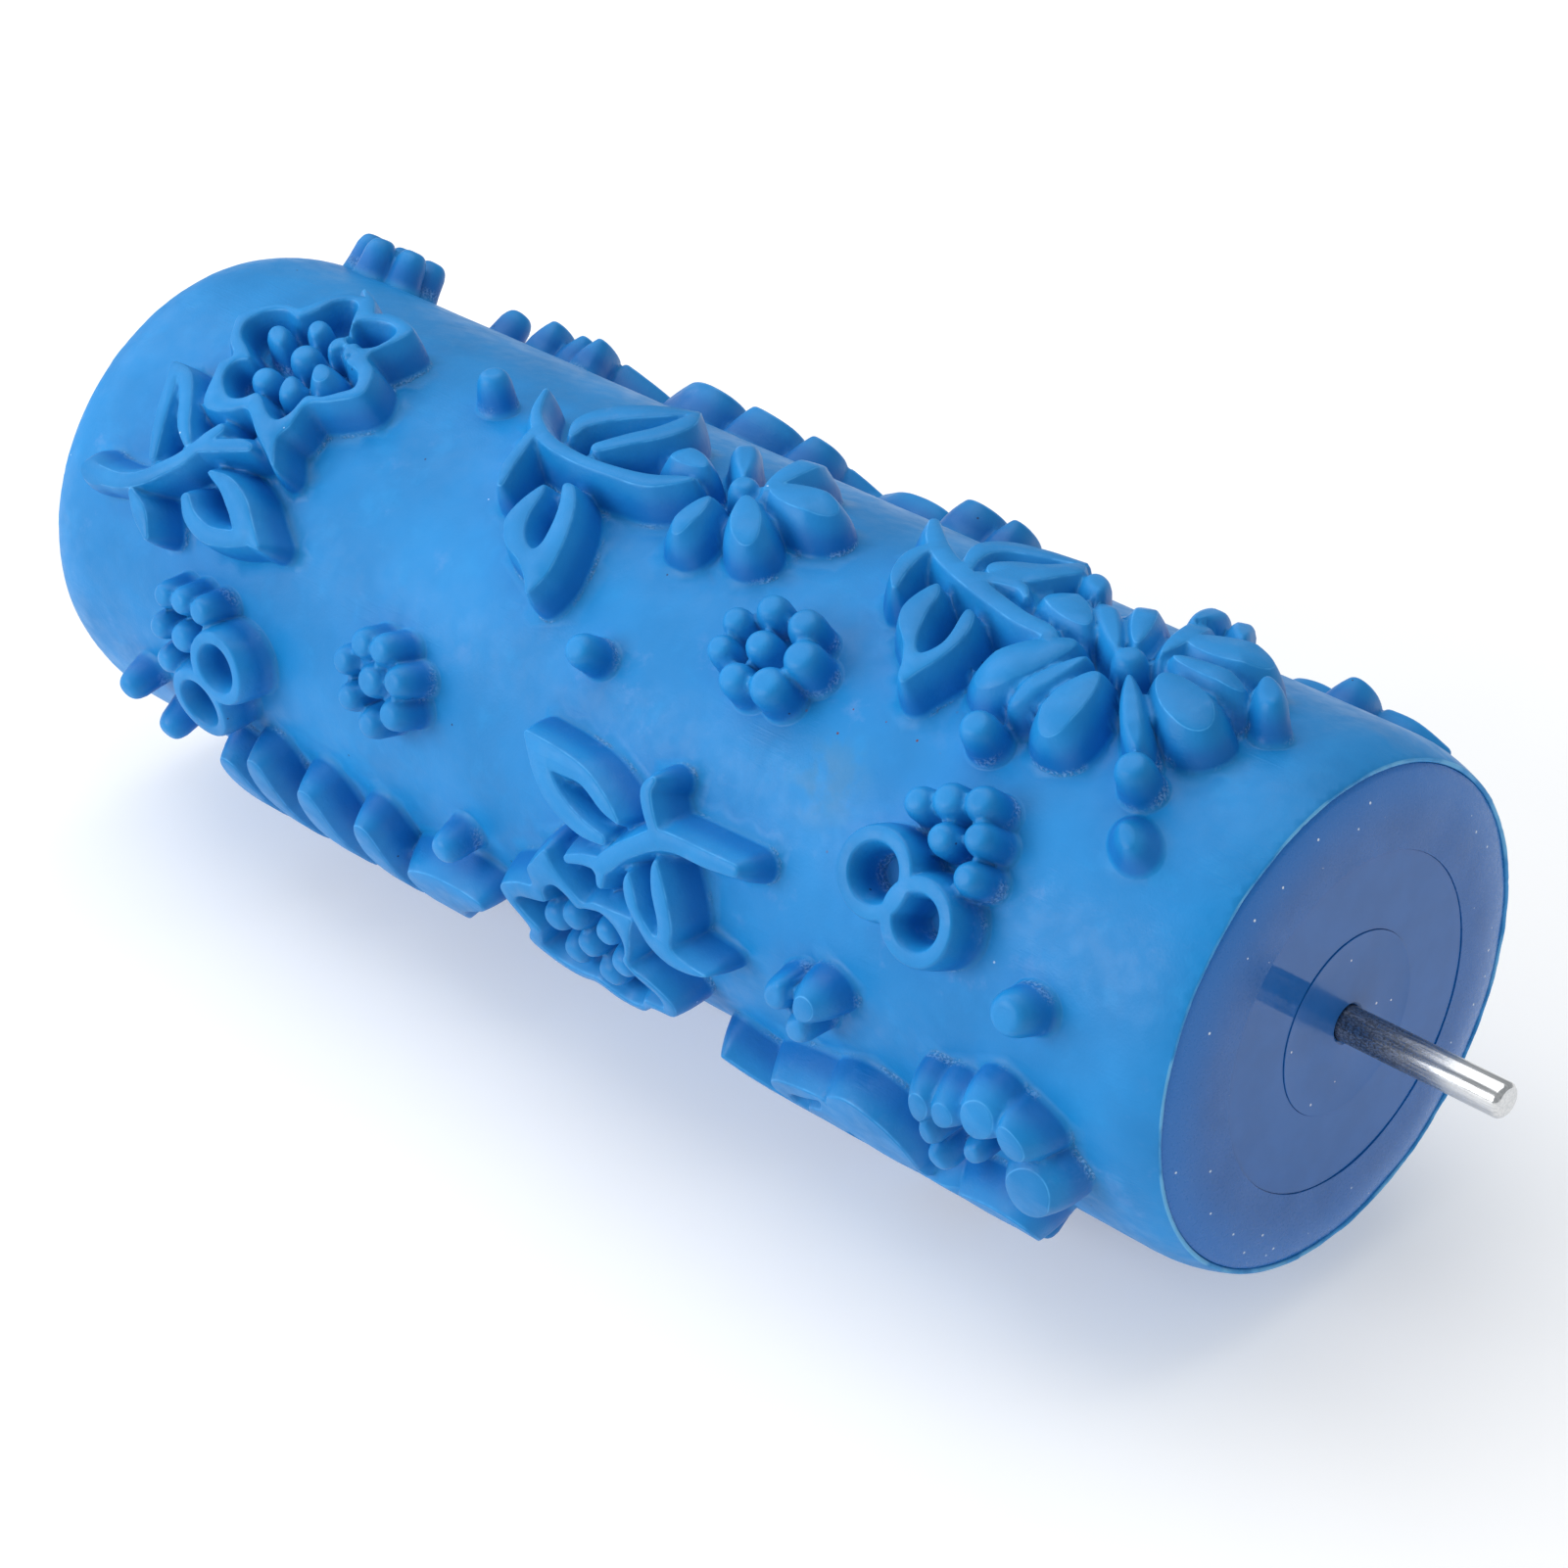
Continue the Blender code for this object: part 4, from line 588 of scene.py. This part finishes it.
def clean_up(mesh):
    """Drop the unused points, face every face outwards and shade smoothly."""
    bm = bmesh.new()
    bm.from_mesh(mesh)
    bmesh.ops.delete(bm, geom=[v for v in bm.verts if not v.link_faces], context="VERTS")
    bmesh.ops.recalc_face_normals(bm, faces=bm.faces)
    bm.to_mesh(mesh)
    bm.free()
    mesh.shade_smooth()


# --- the rubber sleeve ---

def ground_radius(x):
    """The plain rubber: a straight cylinder that curves down to the rim at each end."""
    past = np.clip(np.abs(x) - (RIM_X - RIM_ROUNDING), 0, None) / RIM_ROUNDING
    return GROUND_RADIUS - (GROUND_RADIUS - RIM_RADIUS) * past ** 2


def wall_share(away, inset, foot, softness, fullness):
    """Share of the full height at a signed distance from a motif's edge: 1 on its top, 0 off its foot."""
    fallen = np.clip((away + inset) / (inset + foot), 0, 1)
    return (1 - fallen ** softness) ** fullness


def ground_points(pattern):
    """Points between the motifs and on their wide tops, closer together towards the rims."""
    inner = RIM_X - RIM_ROUNDING
    rows = np.concatenate([-RIM_X + RIM_STEPS, np.linspace(-inner, inner, int(2 * inner / GROUND_STEP)),
                           RIM_X - RIM_STEPS[::-1]])
    count = int(pattern.turn / GROUND_STEP)
    step = pattern.turn / count
    points = []
    for k, x in enumerate(rows):
        shift = step / 2 if k % 2 else 0.0
        points += [(x, pattern.low_y + shift + i * step) for i in range(count)]
        points += [(x, pattern.low_y), (x, pattern.low_y + pattern.turn)]
    points = np.unique(np.round(points, 6), axis=0)
    away = pattern.look_up(pattern.away, points[:, 0], points[:, 1])
    on_seam = (points[:, 1] < pattern.low_y + 1e-4) | (points[:, 1] > pattern.low_y + pattern.turn - 1e-4)
    return points[(away > FOOT + CLEAR_OF_FOOT) | (away < -WIDE_TOP) | on_seam]


def sleeve_sheet(pattern):
    """The flat points, the edges to keep, and each point's distance from the nearest motif's edge."""
    flat, away, edges = [], [], []
    for level in LEVELS:
        for loop in contour_loops(pattern.away, pattern.xs, pattern.ys, level):
            inset = pattern.look_up(pattern.walls[0], loop[:, 0], loop[:, 1]).mean()
            if len(loop) < 5 or inset < -level - 0.1:
                continue
            loop = thinned(loop, OUTLINE_TOLERANCE)
            first = sum(len(run) for run in flat)
            numbers = np.arange(first, first + len(loop))
            edges.append(np.column_stack([numbers, np.roll(numbers, -1)]))
            flat.append(loop)
            away.append(np.full(len(loop), level))
    for side in (-RIM_X, RIM_X):
        y = np.linspace(pattern.low_y, pattern.low_y + pattern.turn, RIM_COLUMNS + 1)
        flat.append(np.column_stack([np.full(len(y), side), y]))
        away.append(np.full(len(y), FAR))
    ground = ground_points(pattern)
    flat.append(ground)
    away.append(pattern.look_up(pattern.away, ground[:, 0], ground[:, 1]))
    return np.vstack(flat), np.concatenate(away), np.vstack(edges)


def add_bore(verts, faces, near_rim, far_rim, turns):
    """The lips, recesses and bore, ring by ring from the near rim through to the far one."""
    lip = [(RIM_X + 0.12, RIM_RADIUS - 0.1), (RIM_X + 0.16, RIM_RADIUS - 0.3),
           (RIM_X + 0.05, RECESS_RADIUS + 0.06), (RIM_X - 0.25, RECESS_RADIUS),
           (RECESS_X, RECESS_RADIUS), (RECESS_X, BORE_RADIUS)]
    rings = [near_rim]
    for along, away_from_axis in [*lip, *((-a, r) for a, r in reversed(lip))]:
        rings.append(range(len(verts), len(verts) + len(turns)))
        for turn in turns:
            ragged = 0.0
            if abs(along) > RIM_X - 0.3:
                ragged = sum(depth * noise.noise(Vector((cos(turn) * waves, sin(turn) * waves, along)))
                             for depth, waves in RAGGED)
            r = away_from_axis + ragged * 0.4
            reach = along + (ragged if along > 0 else -ragged)
            verts.append((reach, -r * sin(turn), r * cos(turn)))
    rings.append(far_rim)
    for ring, following in zip(rings, rings[1:]):
        for i in range(len(turns)):
            j = (i + 1) % len(turns)
            faces.append([ring[i], ring[j], following[j], following[i]])


def sleeve_mesh():
    pattern = Pattern()
    flat, away, edges = sleeve_sheet(pattern)
    points, _, triangles, sources = delaunay_2d_cdt([Vector(p) for p in flat.tolist()],
                                                    edges.tolist(), [], 0, 1e-6, True)[:4]
    x, y = np.array([tuple(p) for p in points]).T
    distance = pattern.look_up(pattern.away, x, y)
    for i, source in enumerate(sources):
        if source:
            distance[i] = away[source[0]]
    walls = [pattern.look_up(grid, x, y) for grid in pattern.walls]
    share = wall_share(distance, *walls)
    height = pattern.look_up(pattern.height, x, y)
    raised = share * height
    angle = y / TOP_RADIUS
    radius = ground_radius(x) + raised
    for i in range(len(points)):
        place = Vector((x[i], SWELL_RADIUS * sin(angle[i]), SWELL_RADIUS * cos(angle[i])))
        swell = sum(depth * noise.noise(place * waves + shift) for depth, waves, shift in SWELLS)
        radius[i] += swell * (0.5 + raised[i] / RELIEF_HEIGHT)

    at_seam = np.abs(y - pattern.low_y - pattern.turn) < 1e-5
    low_side = {round(float(x[i]), 4): i for i in np.flatnonzero(np.abs(y - pattern.low_y) < 1e-5)}
    same = np.arange(len(points))
    for i in np.flatnonzero(at_seam):
        same[i] = low_side[round(float(x[i]), 4)]
    faces = [[int(same[i]) for i in face] for face in triangles]
    verts = np.column_stack([x, -radius * np.sin(angle), radius * np.cos(angle)]).tolist()

    rim = {}
    for side in (1, -1):
        on_rim = np.flatnonzero((np.abs(x - side * RIM_X) < 1e-5) & ~at_seam)
        rim[side] = [int(i) for i in on_rim[np.argsort(y[on_rim])]]
    add_bore(verts, faces, rim[1], rim[-1], [y[i] / TOP_RADIUS for i in rim[1]])

    mesh = bpy.data.meshes.new("rubber_relief")
    mesh.from_pydata([Vector(v) * MM for v in verts], [], faces)
    extra = len(verts) - len(points)
    # marks for the material: the way past a motif's foot, the share of its height, its painted edge
    # highlight
    past_foot = np.where(height > LOW_RELIEF_HEIGHT, np.clip(distance - walls[1], -3, 5), 5)
    # painted highlight: a thin band at the top edge of each crisp-edged motif, and the whole cut lip
    edge_highlight = (np.abs(distance + walls[0] - 0.08) < 0.05) & (walls[2] < 1.3)
    on_lip = np.array([abs(v[0]) > RIM_X - 0.1 for v in verts[len(points):]], float)
    for name, values, beyond in (("past_foot", past_foot, np.full(extra, 5.0)),
                                 ("share", share, np.zeros(extra)), ("edge_highlight", edge_highlight, on_lip)):
        attribute = mesh.attributes.new(name, "FLOAT", "POINT")
        attribute.data.foreach_set("value", np.concatenate([values, beyond]))
    clean_up(mesh)
    return mesh


# --- pieces turned about the axle ---

def turned_mesh(name, profile, segments, side=1, wobble=0.0):
    """A closed section of (x, radius) in mm, spun about X; radius 0 closes it on the axis."""
    verts, faces, rows = [], [], []
    for x, radius in profile:
        if radius == 0:
            rows.append([len(verts)] * segments)
            verts.append(Vector((side * x, 0, 0)) * MM)
            continue
        rows.append(list(range(len(verts), len(verts) + segments)))
        for i in range(segments):
            turn = 2 * pi * i / segments
            place = Vector((x * 0.3, cos(turn) * radius * 0.15, sin(turn) * radius * 0.15))
            shake = wobble * noise.noise(place)
            verts.append(Vector((side * (x + shake), -radius * sin(turn), radius * cos(turn))) * MM)
    closed = profile[0][1] != 0 or profile[-1][1] != 0
    for k in range(len(rows) if closed else len(rows) - 1):
        here, there = rows[k], rows[(k + 1) % len(rows)]
        for i in range(segments):
            j = (i + 1) % segments
            corners = list(dict.fromkeys([here[i], here[j], there[j], there[i]]))
            if len(corners) > 2:
                faces.append(corners)
    mesh = bpy.data.meshes.new(name)
    mesh.from_pydata(verts, [], faces)
    clean_up(mesh)
    mesh.set_sharp_from_angle(angle=radians(32))
    return mesh


def add_piece(name, mesh, body, surface, stands_for):
    piece = bpy.data.objects.new(name, mesh)
    bpy.context.scene.collection.objects.link(piece)
    mesh.materials.append(surface)
    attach(piece, body)
    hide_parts(stands_for)


def end_cap(where, side, surface):
    """Outer ring of the end face: it is flat by the hub and rolls over towards the rubber lip."""
    hole, outer = HUB_RADIUS + 0.02, RECESS_RADIUS - 0.03
    flat_to = HUB_RADIUS + 1.2
    dome = [(FACE_X - 0.02 - CAP_ROLL * share ** 2.4, flat_to + (outer - HUB_RADIUS - 1.3) * share)
            for share in (k / 12 for k in range(13))]
    profile = [(FACE_X - 0.05, hole), (FACE_X - 0.02, hole + 0.03), *dome,
               (FACE_X - CAP_ROLL - 0.12, outer), (CAP_BACK, outer), (CAP_BACK, COLLAR_OUTER),
               (CAP_BACK - COLLAR_LENGTH, COLLAR_OUTER), (CAP_BACK - COLLAR_LENGTH, COLLAR_INNER),
               (CAP_BACK, COLLAR_INNER), (CAP_BACK, hole)]
    mesh = turned_mesh("cap", profile, 192, side, wobble=0.10)
    add_piece(f"moulded_end_cap_{where}", mesh, "roller", surface, f"end_cap_{where}")


def hub_ring(where, side, surface):
    hole, face = BUSH_RADIUS + 0.03, HUB_HIGH.x
    profile = [(face - 0.05, hole), (face - 0.02, hole + 0.04), (face - 0.02, HUB_RADIUS - 0.03),
               (face - 0.05, HUB_RADIUS),
               (face - HUB_FLANGE, HUB_RADIUS), (face - HUB_FLANGE, HUB_HIGH.z),
               (HUB_LOW.x, HUB_HIGH.z), (HUB_LOW.x, hole)]
    mesh = turned_mesh("hub", profile, 160, side, wobble=0.02)
    add_piece(f"glossy_hub_ring_{where}", mesh, "roller", surface,
              f"hub_ring_{where}")


def axle_bush(where, side, surface):
    bore = AXLE_HIGH.z + 0.08
    shoulder = BUSH_LOW.x + BUSH_SHOULDER
    profile = [(FACE_X - 0.25, bore), (FACE_X - 0.05, bore + 0.3), (FACE_X - 0.12, bore + 1.2),
               (FACE_X - 0.10, BUSH_RADIUS - 1.0), (FACE_X - 0.04, BUSH_RADIUS - 0.05),
               (FACE_X - 0.07, BUSH_RADIUS), (shoulder, BUSH_RADIUS), (shoulder, BUSH_HIGH.z),
               (BUSH_LOW.x, BUSH_HIGH.z), (BUSH_LOW.x, bore)]
    mesh = turned_mesh("bush", profile, 128, side, wobble=0.03)
    add_piece(f"plain_bearing_{where}", mesh, "roller", surface,
              f"axle_bush_{where}")


def steel_axle(surface):
    """Drawn steel pin: its ends are sheared, then lightly chamfered."""
    end, radius = AXLE_HIGH.x, AXLE_HIGH.z
    near = [(end - 0.03, 0), (end - 0.02, radius * 0.5), (end, radius - 0.42), (end - 0.10, radius - 0.26),
            (end - 0.42, radius - 0.03), (end - 0.7, radius)]
    body = [(x, radius) for x in np.linspace(end - 4, -end + 4, 40)]
    profile = near + body + [(-x, r) for x, r in reversed(near)]
    mesh = turned_mesh("axle", profile, 96, wobble=0.02)
    add_piece("drawn_steel_axle", mesh, "axle", surface, "axle")


# --- materials ---

class Surface:
    """One procedural material and the few node helpers that its recipe needs. Sizes are in mm."""

    def __init__(self, name):
        self.material = bpy.data.materials.new(name)
        self.material.use_nodes = True
        self.tree = self.material.node_tree
        self.shader = self.tree.nodes["Principled BSDF"]
        self.place = self.tree.nodes.new("ShaderNodeTexCoord").outputs["Object"]

    def node(self, kind, inputs=(), **settings):
        made = self.tree.nodes.new("ShaderNode" + kind)
        for name, value in settings.items():
            setattr(made, name, value)
        for key, value in dict(inputs).items():
            if isinstance(value, bpy.types.NodeSocket):
                self.tree.links.new(value, made.inputs[key])
            else:
                made.inputs[key].default_value = value
        return made

    def math(self, operation, a, b=0.0):
        return self.node("Math", {0: a, 1: b}, operation=operation).outputs[0]

    def stretched(self, along, turn=0.0):
        """Object coordinates squeezed along X, and turned about Z."""
        return self.node("Mapping", {"Vector": self.place, "Rotation": (0, 0, turn),
                                     "Scale": (along, 1, 1)}).outputs[0]

    def noise(self, size, detail=2.0, place=None, roughness=0.5):
        return self.node("TexNoise", {"Vector": place or self.place, "Scale": 1 / (size * MM),
                                      "Detail": detail, "Roughness": roughness}).outputs["Fac"]

    def between(self, value, low, high, start=0.0, end=1.0):
        """Smooth step from low to high."""
        return self.node("MapRange", {"Value": value, "From Min": low, "From Max": high, "To Min": start,
                                      "To Max": end}, interpolation_type="SMOOTHSTEP").outputs["Result"]

    def mix(self, share, a, b):
        made = self.node("Mix", {0: share}, data_type="RGBA")
        for socket, value in ((made.inputs[6], a), (made.inputs[7], b)):
            if isinstance(value, bpy.types.NodeSocket):
                self.tree.links.new(value, socket)
            else:
                socket.default_value = (*value, 1.0)
        return made.outputs[2]

    def attribute(self, name):
        return self.node("Attribute", attribute_name=name).outputs["Fac"]

    def from_middle(self):
        """Distance from the middle of the roller along its axle, in metres."""
        return self.math("ABSOLUTE", self.node("SeparateXYZ", {"Vector": self.place}).outputs["X"])

    def off_axis(self):
        """Distance from the axle's line, in metres."""
        across = self.node("VectorMath", {0: self.place, 1: (0, 1, 1)}, operation="MULTIPLY").outputs[0]
        return self.node("VectorMath", {0: across}, operation="LENGTH").outputs["Value"]

    def near(self, point, inner, outer):
        """1 within inner mm of a point, falling to 0 at outer mm."""
        away = self.node("VectorMath", {0: self.place, 1: Vector(point) * MM}, operation="DISTANCE")
        return self.between(away.outputs["Value"], inner * MM, outer * MM, 1.0, 0.0)

    def bump(self, height, depth, normal=None):
        """depth is in mm for a height of 1."""
        inputs = {"Height": height, "Distance": depth * MM, "Strength": 1.0}
        if normal:
            inputs["Normal"] = normal
        return self.node("Bump", inputs).outputs["Normal"]

    def finish(self, colour, roughness, normal=None, **constant):
        for key, value in (("Base Color", colour), ("Roughness", roughness), ("Normal", normal)):
            if isinstance(value, bpy.types.NodeSocket):
                self.tree.links.new(value, self.shader.inputs[key])
            elif value is not None:
                self.shader.inputs[key].default_value = (*value, 1.0) if key == "Base Color" else value
        for key, value in constant.items():
            self.shader.inputs[key.replace("_", " ")].default_value = value
        return self.material


def specks(surface, size, radius, share):
    """Sparse round specks: 1 in a speck. share is how many of the cells hold one."""
    voronoi = surface.node("TexVoronoi", {"Vector": surface.place, "Scale": 1 / (size * MM)})
    close = surface.math("LESS_THAN", voronoi.outputs["Distance"], radius / size)
    chosen = surface.node("SeparateColor", {"Color": voronoi.outputs["Color"]}).outputs["Red"]
    return surface.math("MULTIPLY", close, surface.math("LESS_THAN", chosen, share))


def on_ground(x, degrees):
    """A point of the plain rubber, in mm."""
    angle = radians(degrees)
    return x, -GROUND_RADIUS * sin(angle), GROUND_RADIUS * cos(angle)


def rubber():
    """Satin blue rubber: paler on the motifs' edges and cut lip, a painted highlight, and darker low on
    their walls, a painted shade; with residue at their feet, specks and tool marks.
    """
    s = Surface("blue_rubber_relief")
    past_foot, share = s.attribute("past_foot"), s.attribute("share")
    blotch = s.noise(14, detail=3)
    colour = s.mix(s.between(blotch, 0.3, 0.7), (0.004, 0.190, 0.500), (0.009, 0.232, 0.590))
    colour = s.mix(s.between(s.noise(4.5, detail=4, roughness=0.6), 0.5, 0.75, 0, 0.35), colour,
                   (0.014, 0.270, 0.640))
    # painted shade: a darker blue low on each motif's wall, where the relief shades itself
    wall_shade = s.math("MULTIPLY", s.between(share, 0.02, 0.2), s.between(share, 0.85, 0.4))
    colour = s.mix(s.math("MULTIPLY", wall_shade, 0.55), colour, (0.002, 0.110, 0.420))
    # painted highlight: paler top edges and cut lip, broken up by noise
    edge = s.math("MULTIPLY", s.between(s.attribute("edge_highlight"), 0.4, 1.0),
                  s.between(s.noise(1.8), 0.35, 0.65, 0.2, 0.75))
    colour = s.mix(edge, colour, (0.060, 0.360, 0.760))
    # painted highlight: the rubber's cut lip at each end paler, in broken patches
    lip_highlight = s.math("MULTIPLY", s.between(s.from_middle(), RIM_X * MM, (RIM_X + 0.06) * MM),
                  s.between(s.noise(7), 0.42, 0.55))
    colour = s.mix(s.math("MULTIPLY", lip_highlight, 0.6), colour, (0.180, 0.520, 0.820))
    dusty = s.math("MULTIPLY", s.between(s.noise(5.0, detail=5, roughness=0.65), 0.56, 0.72),
                   s.between(s.noise(22), 0.5, 0.62))
    colour = s.mix(s.math("MULTIPLY", dusty, 0.22), colour, (0.200, 0.340, 0.660))

    foot = s.math("MULTIPLY", s.between(past_foot, -0.14, 0.0), s.between(past_foot, 0.34, 0.08))
    crumbs = s.between(s.noise(0.34, detail=4, roughness=0.7), 0.46, 0.56)
    crumbs = s.math("MULTIPLY", s.math("MULTIPLY", foot, crumbs), s.between(s.noise(5), 0.48, 0.64))
    colour = s.mix(s.math("MULTIPLY", crumbs, 0.62), colour, (0.190, 0.430, 0.800))

    smudge = s.math("MULTIPLY", s.near(on_ground(39, 53), 1.5, 7),
                    s.between(s.noise(3, detail=3), 0.35, 0.6))
    colour = s.mix(s.math("MULTIPLY", smudge, 0.55), colour, (0.050, 0.200, 0.390))
    colour = s.mix(s.math("MULTIPLY", specks(s, 3.9, 0.14, 0.36), 0.85), colour, (0.006, 0.020, 0.080))
    colour = s.mix(s.math("MULTIPLY", specks(s, 4.7, 0.13, 0.30), 0.8), colour, (0.420, 0.620, 0.860))
    rust = s.math("MULTIPLY", specks(s, 1.6, 0.16, 0.30), s.near(on_ground(42, 47), 6, 13))
    colour = s.mix(s.math("MULTIPLY", rust, 0.9), colour, (0.130, 0.022, 0.016))

    scratch = s.noise(0.5, detail=2, place=s.stretched(0.10, radians(35)))
    scratched = s.math("MULTIPLY", s.between(scratch, 0.5, 0.7), s.between(s.noise(9), 0.5, 0.62))
    roughness = s.math("ADD", s.between(s.noise(2.2, detail=4), 0.3, 0.7, 0.38, 0.52),
                       s.math("MULTIPLY", crumbs, 0.3))
    normal = s.bump(s.noise(3.5, detail=3), 0.10)
    normal = s.bump(s.noise(0.30, detail=3), 0.020, normal)
    normal = s.bump(scratched, 0.012, normal)
    normal = s.bump(crumbs, 0.05, normal)
    return s.finish(colour, roughness, normal, Specular_IOR_Level=0.28)


def face_plastic(name, roughness, grain, depth, dust):
    """Deep blue plastic whose gloss reflects the pale surroundings."""
    s = Surface(name)
    colour = s.mix(s.between(s.noise(6, detail=3), 0.35, 0.65), (0.004, 0.108, 0.385),
                   (0.008, 0.122, 0.425))
    # painted shade: the cap's rolled-over rim a deeper, purer blue, where it reflects less of the pale room
    rim = s.between(s.off_axis(), (HUB_RADIUS + 2.0) * MM, (RECESS_RADIUS - 0.8) * MM)
    colour = s.mix(rim, colour, (0.003, 0.150, 0.510))
    colour = s.mix(specks(s, 1.9, 0.15, dust), colour, (0.75, 0.80, 0.90))
    colour = s.mix(specks(s, 5.0, 0.14, 0.25), colour, (0.010, 0.015, 0.030))
    mottle = s.between(s.noise(grain * 2, detail=3, roughness=0.6), 0.3, 0.7, roughness * 0.8,
                       roughness * 1.25)
    normal = s.bump(s.noise(grain, detail=2), depth)
    normal = s.bump(s.noise(9, detail=1), 0.02, normal)
    return s.finish(colour, mottle, normal, Specular_IOR_Level=0.46)


def bright_steel():
    """Drawn steel: fine lines along the pin, soot and a painted dark reflection by the bush, bright at its
    tip.
    """
    s = Surface("drawn_steel")
    lines = s.noise(0.25, detail=3, place=s.stretched(0.06))
    # soot specks all along the pin, much denser within a few mm of the end face: a painted dark reflection
    # of the face
    inner = s.between(s.from_middle(), (FACE_X + 6) * MM, (FACE_X + 15) * MM, 1.0, 0.0)
    soot_and_reflection = s.between(s.noise(0.20, detail=4, roughness=0.7, place=s.stretched(0.6)), 0.40, 0.60, 0.35, 1.0)
    soot_and_reflection = s.math("MULTIPLY", soot_and_reflection, s.math("ADD", s.math("MULTIPLY", inner, 0.75), 0.08))
    colour = s.mix(s.between(lines, 0.3, 0.7), (0.62, 0.63, 0.64), (0.78, 0.78, 0.78))
    colour = s.mix(soot_and_reflection, colour, (0.030, 0.040, 0.060))
    roughness = s.math("ADD", s.between(lines, 0.3, 0.7, 0.12, 0.24), s.math("MULTIPLY", soot_and_reflection, 0.3))
    return s.finish(colour, roughness, s.bump(lines, 0.006), Metallic=1.0)


def plain_surface(name, low, high, roughness, metallic, grain):
    """For the pieces inside the core: moulded or pressed, with a fine grain."""
    s = Surface(name)
    colour = s.mix(s.between(s.noise(4, detail=3), 0.35, 0.65), low, high)
    rough = s.between(s.noise(grain * 2, detail=2), 0.3, 0.7, roughness * 0.8, roughness * 1.2)
    return s.finish(colour, rough, s.bump(s.noise(grain, detail=2), 0.01), Metallic=metallic)


# --- stage ---

def stand(name, data, position, aim=(0, 0, 0)):
    """A light or camera at a place, aimed at a point."""
    made = bpy.data.objects.new(name, data)
    bpy.context.scene.collection.objects.link(made)
    made.location = position
    made.rotation_mode = "QUATERNION"
    made.rotation_quaternion = (Vector(aim) - Vector(position)).to_track_quat("-Z", "Y")
    return made


def studio():
    world = bpy.data.worlds.new("studio")
    world.use_nodes = True
    background = world.node_tree.nodes["Background"]
    background.inputs["Color"].default_value = WORLD_COLOUR
    background.inputs["Strength"].default_value = WORLD_STRENGTH
    bpy.context.scene.world = world
    for name, (position, size, power) in LIGHTS.items():
        light = bpy.data.lights.new(name, "AREA")
        light.shape = "RECTANGLE"
        light.size, light.size_y = size
        light.energy = power
        stand(name, light, position)

    mesh = bpy.data.meshes.new("floor")
    corners = [(x * FLOOR_REACH, y * FLOOR_REACH, CAD_BOX[0].z)
               for x, y in ((-1, -1), (1, -1), (1, 1), (-1, 1))]
    mesh.from_pydata(corners, [], [(0, 1, 2, 3)])
    floor = bpy.data.objects.new("floor", mesh)
    bpy.context.scene.collection.objects.link(floor)
    s = Surface("pale_floor")
    tone = s.between(s.noise(60, detail=3), 0.3, 0.7)
    surface = s.finish(s.mix(tone, (0.70, 0.70, 0.70), (0.72, 0.72, 0.72)), 0.85,
                       Emission_Strength=FLOOR_GLOW)
    s.shader.inputs["Emission Color"].default_value = (1, 1, 1, 1)
    mesh.materials.append(surface)

    view = bpy.data.cameras.new("camera")
    view.sensor_width = 36
    view.lens = CAMERA_LENS
    view.clip_start, view.clip_end = 0.05, 20
    bpy.context.scene.camera = stand("camera", view, CAMERA_PLACE, CAMERA_AIM)
    bpy.context.scene.view_settings.view_transform = "Standard"


def main():
    relief = rubber()
    add_piece("rubber_relief_sleeve", sleeve_mesh(), "roller", relief, "pattern_sleeve")
    cap_plastic = face_plastic("grained_slate_plastic", roughness=0.30, grain=0.30, depth=0.012, dust=0.30)
    hub_plastic = face_plastic("polished_slate_plastic", roughness=0.04, grain=1.2, depth=0.002, dust=0.20)
    bush_plastic = face_plastic("frosted_slate_plastic", roughness=0.20, grain=0.35, depth=0.008, dust=0.30)
    for where, side in (("near", 1), ("far", -1)):
        end_cap(where, side, cap_plastic)
        hub_ring(where, side, hub_plastic)
        axle_bush(where, side, bush_plastic)
    steel_axle(bright_steel())
    inner = {
        "core_tube": plain_surface("extruded_grey_plastic", (0.50, 0.51, 0.53), (0.58, 0.59, 0.61),
                                   roughness=0.5, metallic=0.0, grain=0.6),
        "thrust_washer": plain_surface("zinc_washer", (0.66, 0.67, 0.68), (0.76, 0.77, 0.78),
                                       roughness=0.25, metallic=1.0, grain=0.3),
        "push_on_clip": plain_surface("spring_steel_clip", (0.26, 0.26, 0.28), (0.34, 0.34, 0.36),
                                      roughness=0.35, metallic=1.0, grain=0.3),
    }
    for name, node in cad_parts.items():
        surface = inner.get(name.removesuffix("_near").removesuffix("_far"))
        if surface:
            node.material_slots[0].material = surface
    studio()


main()
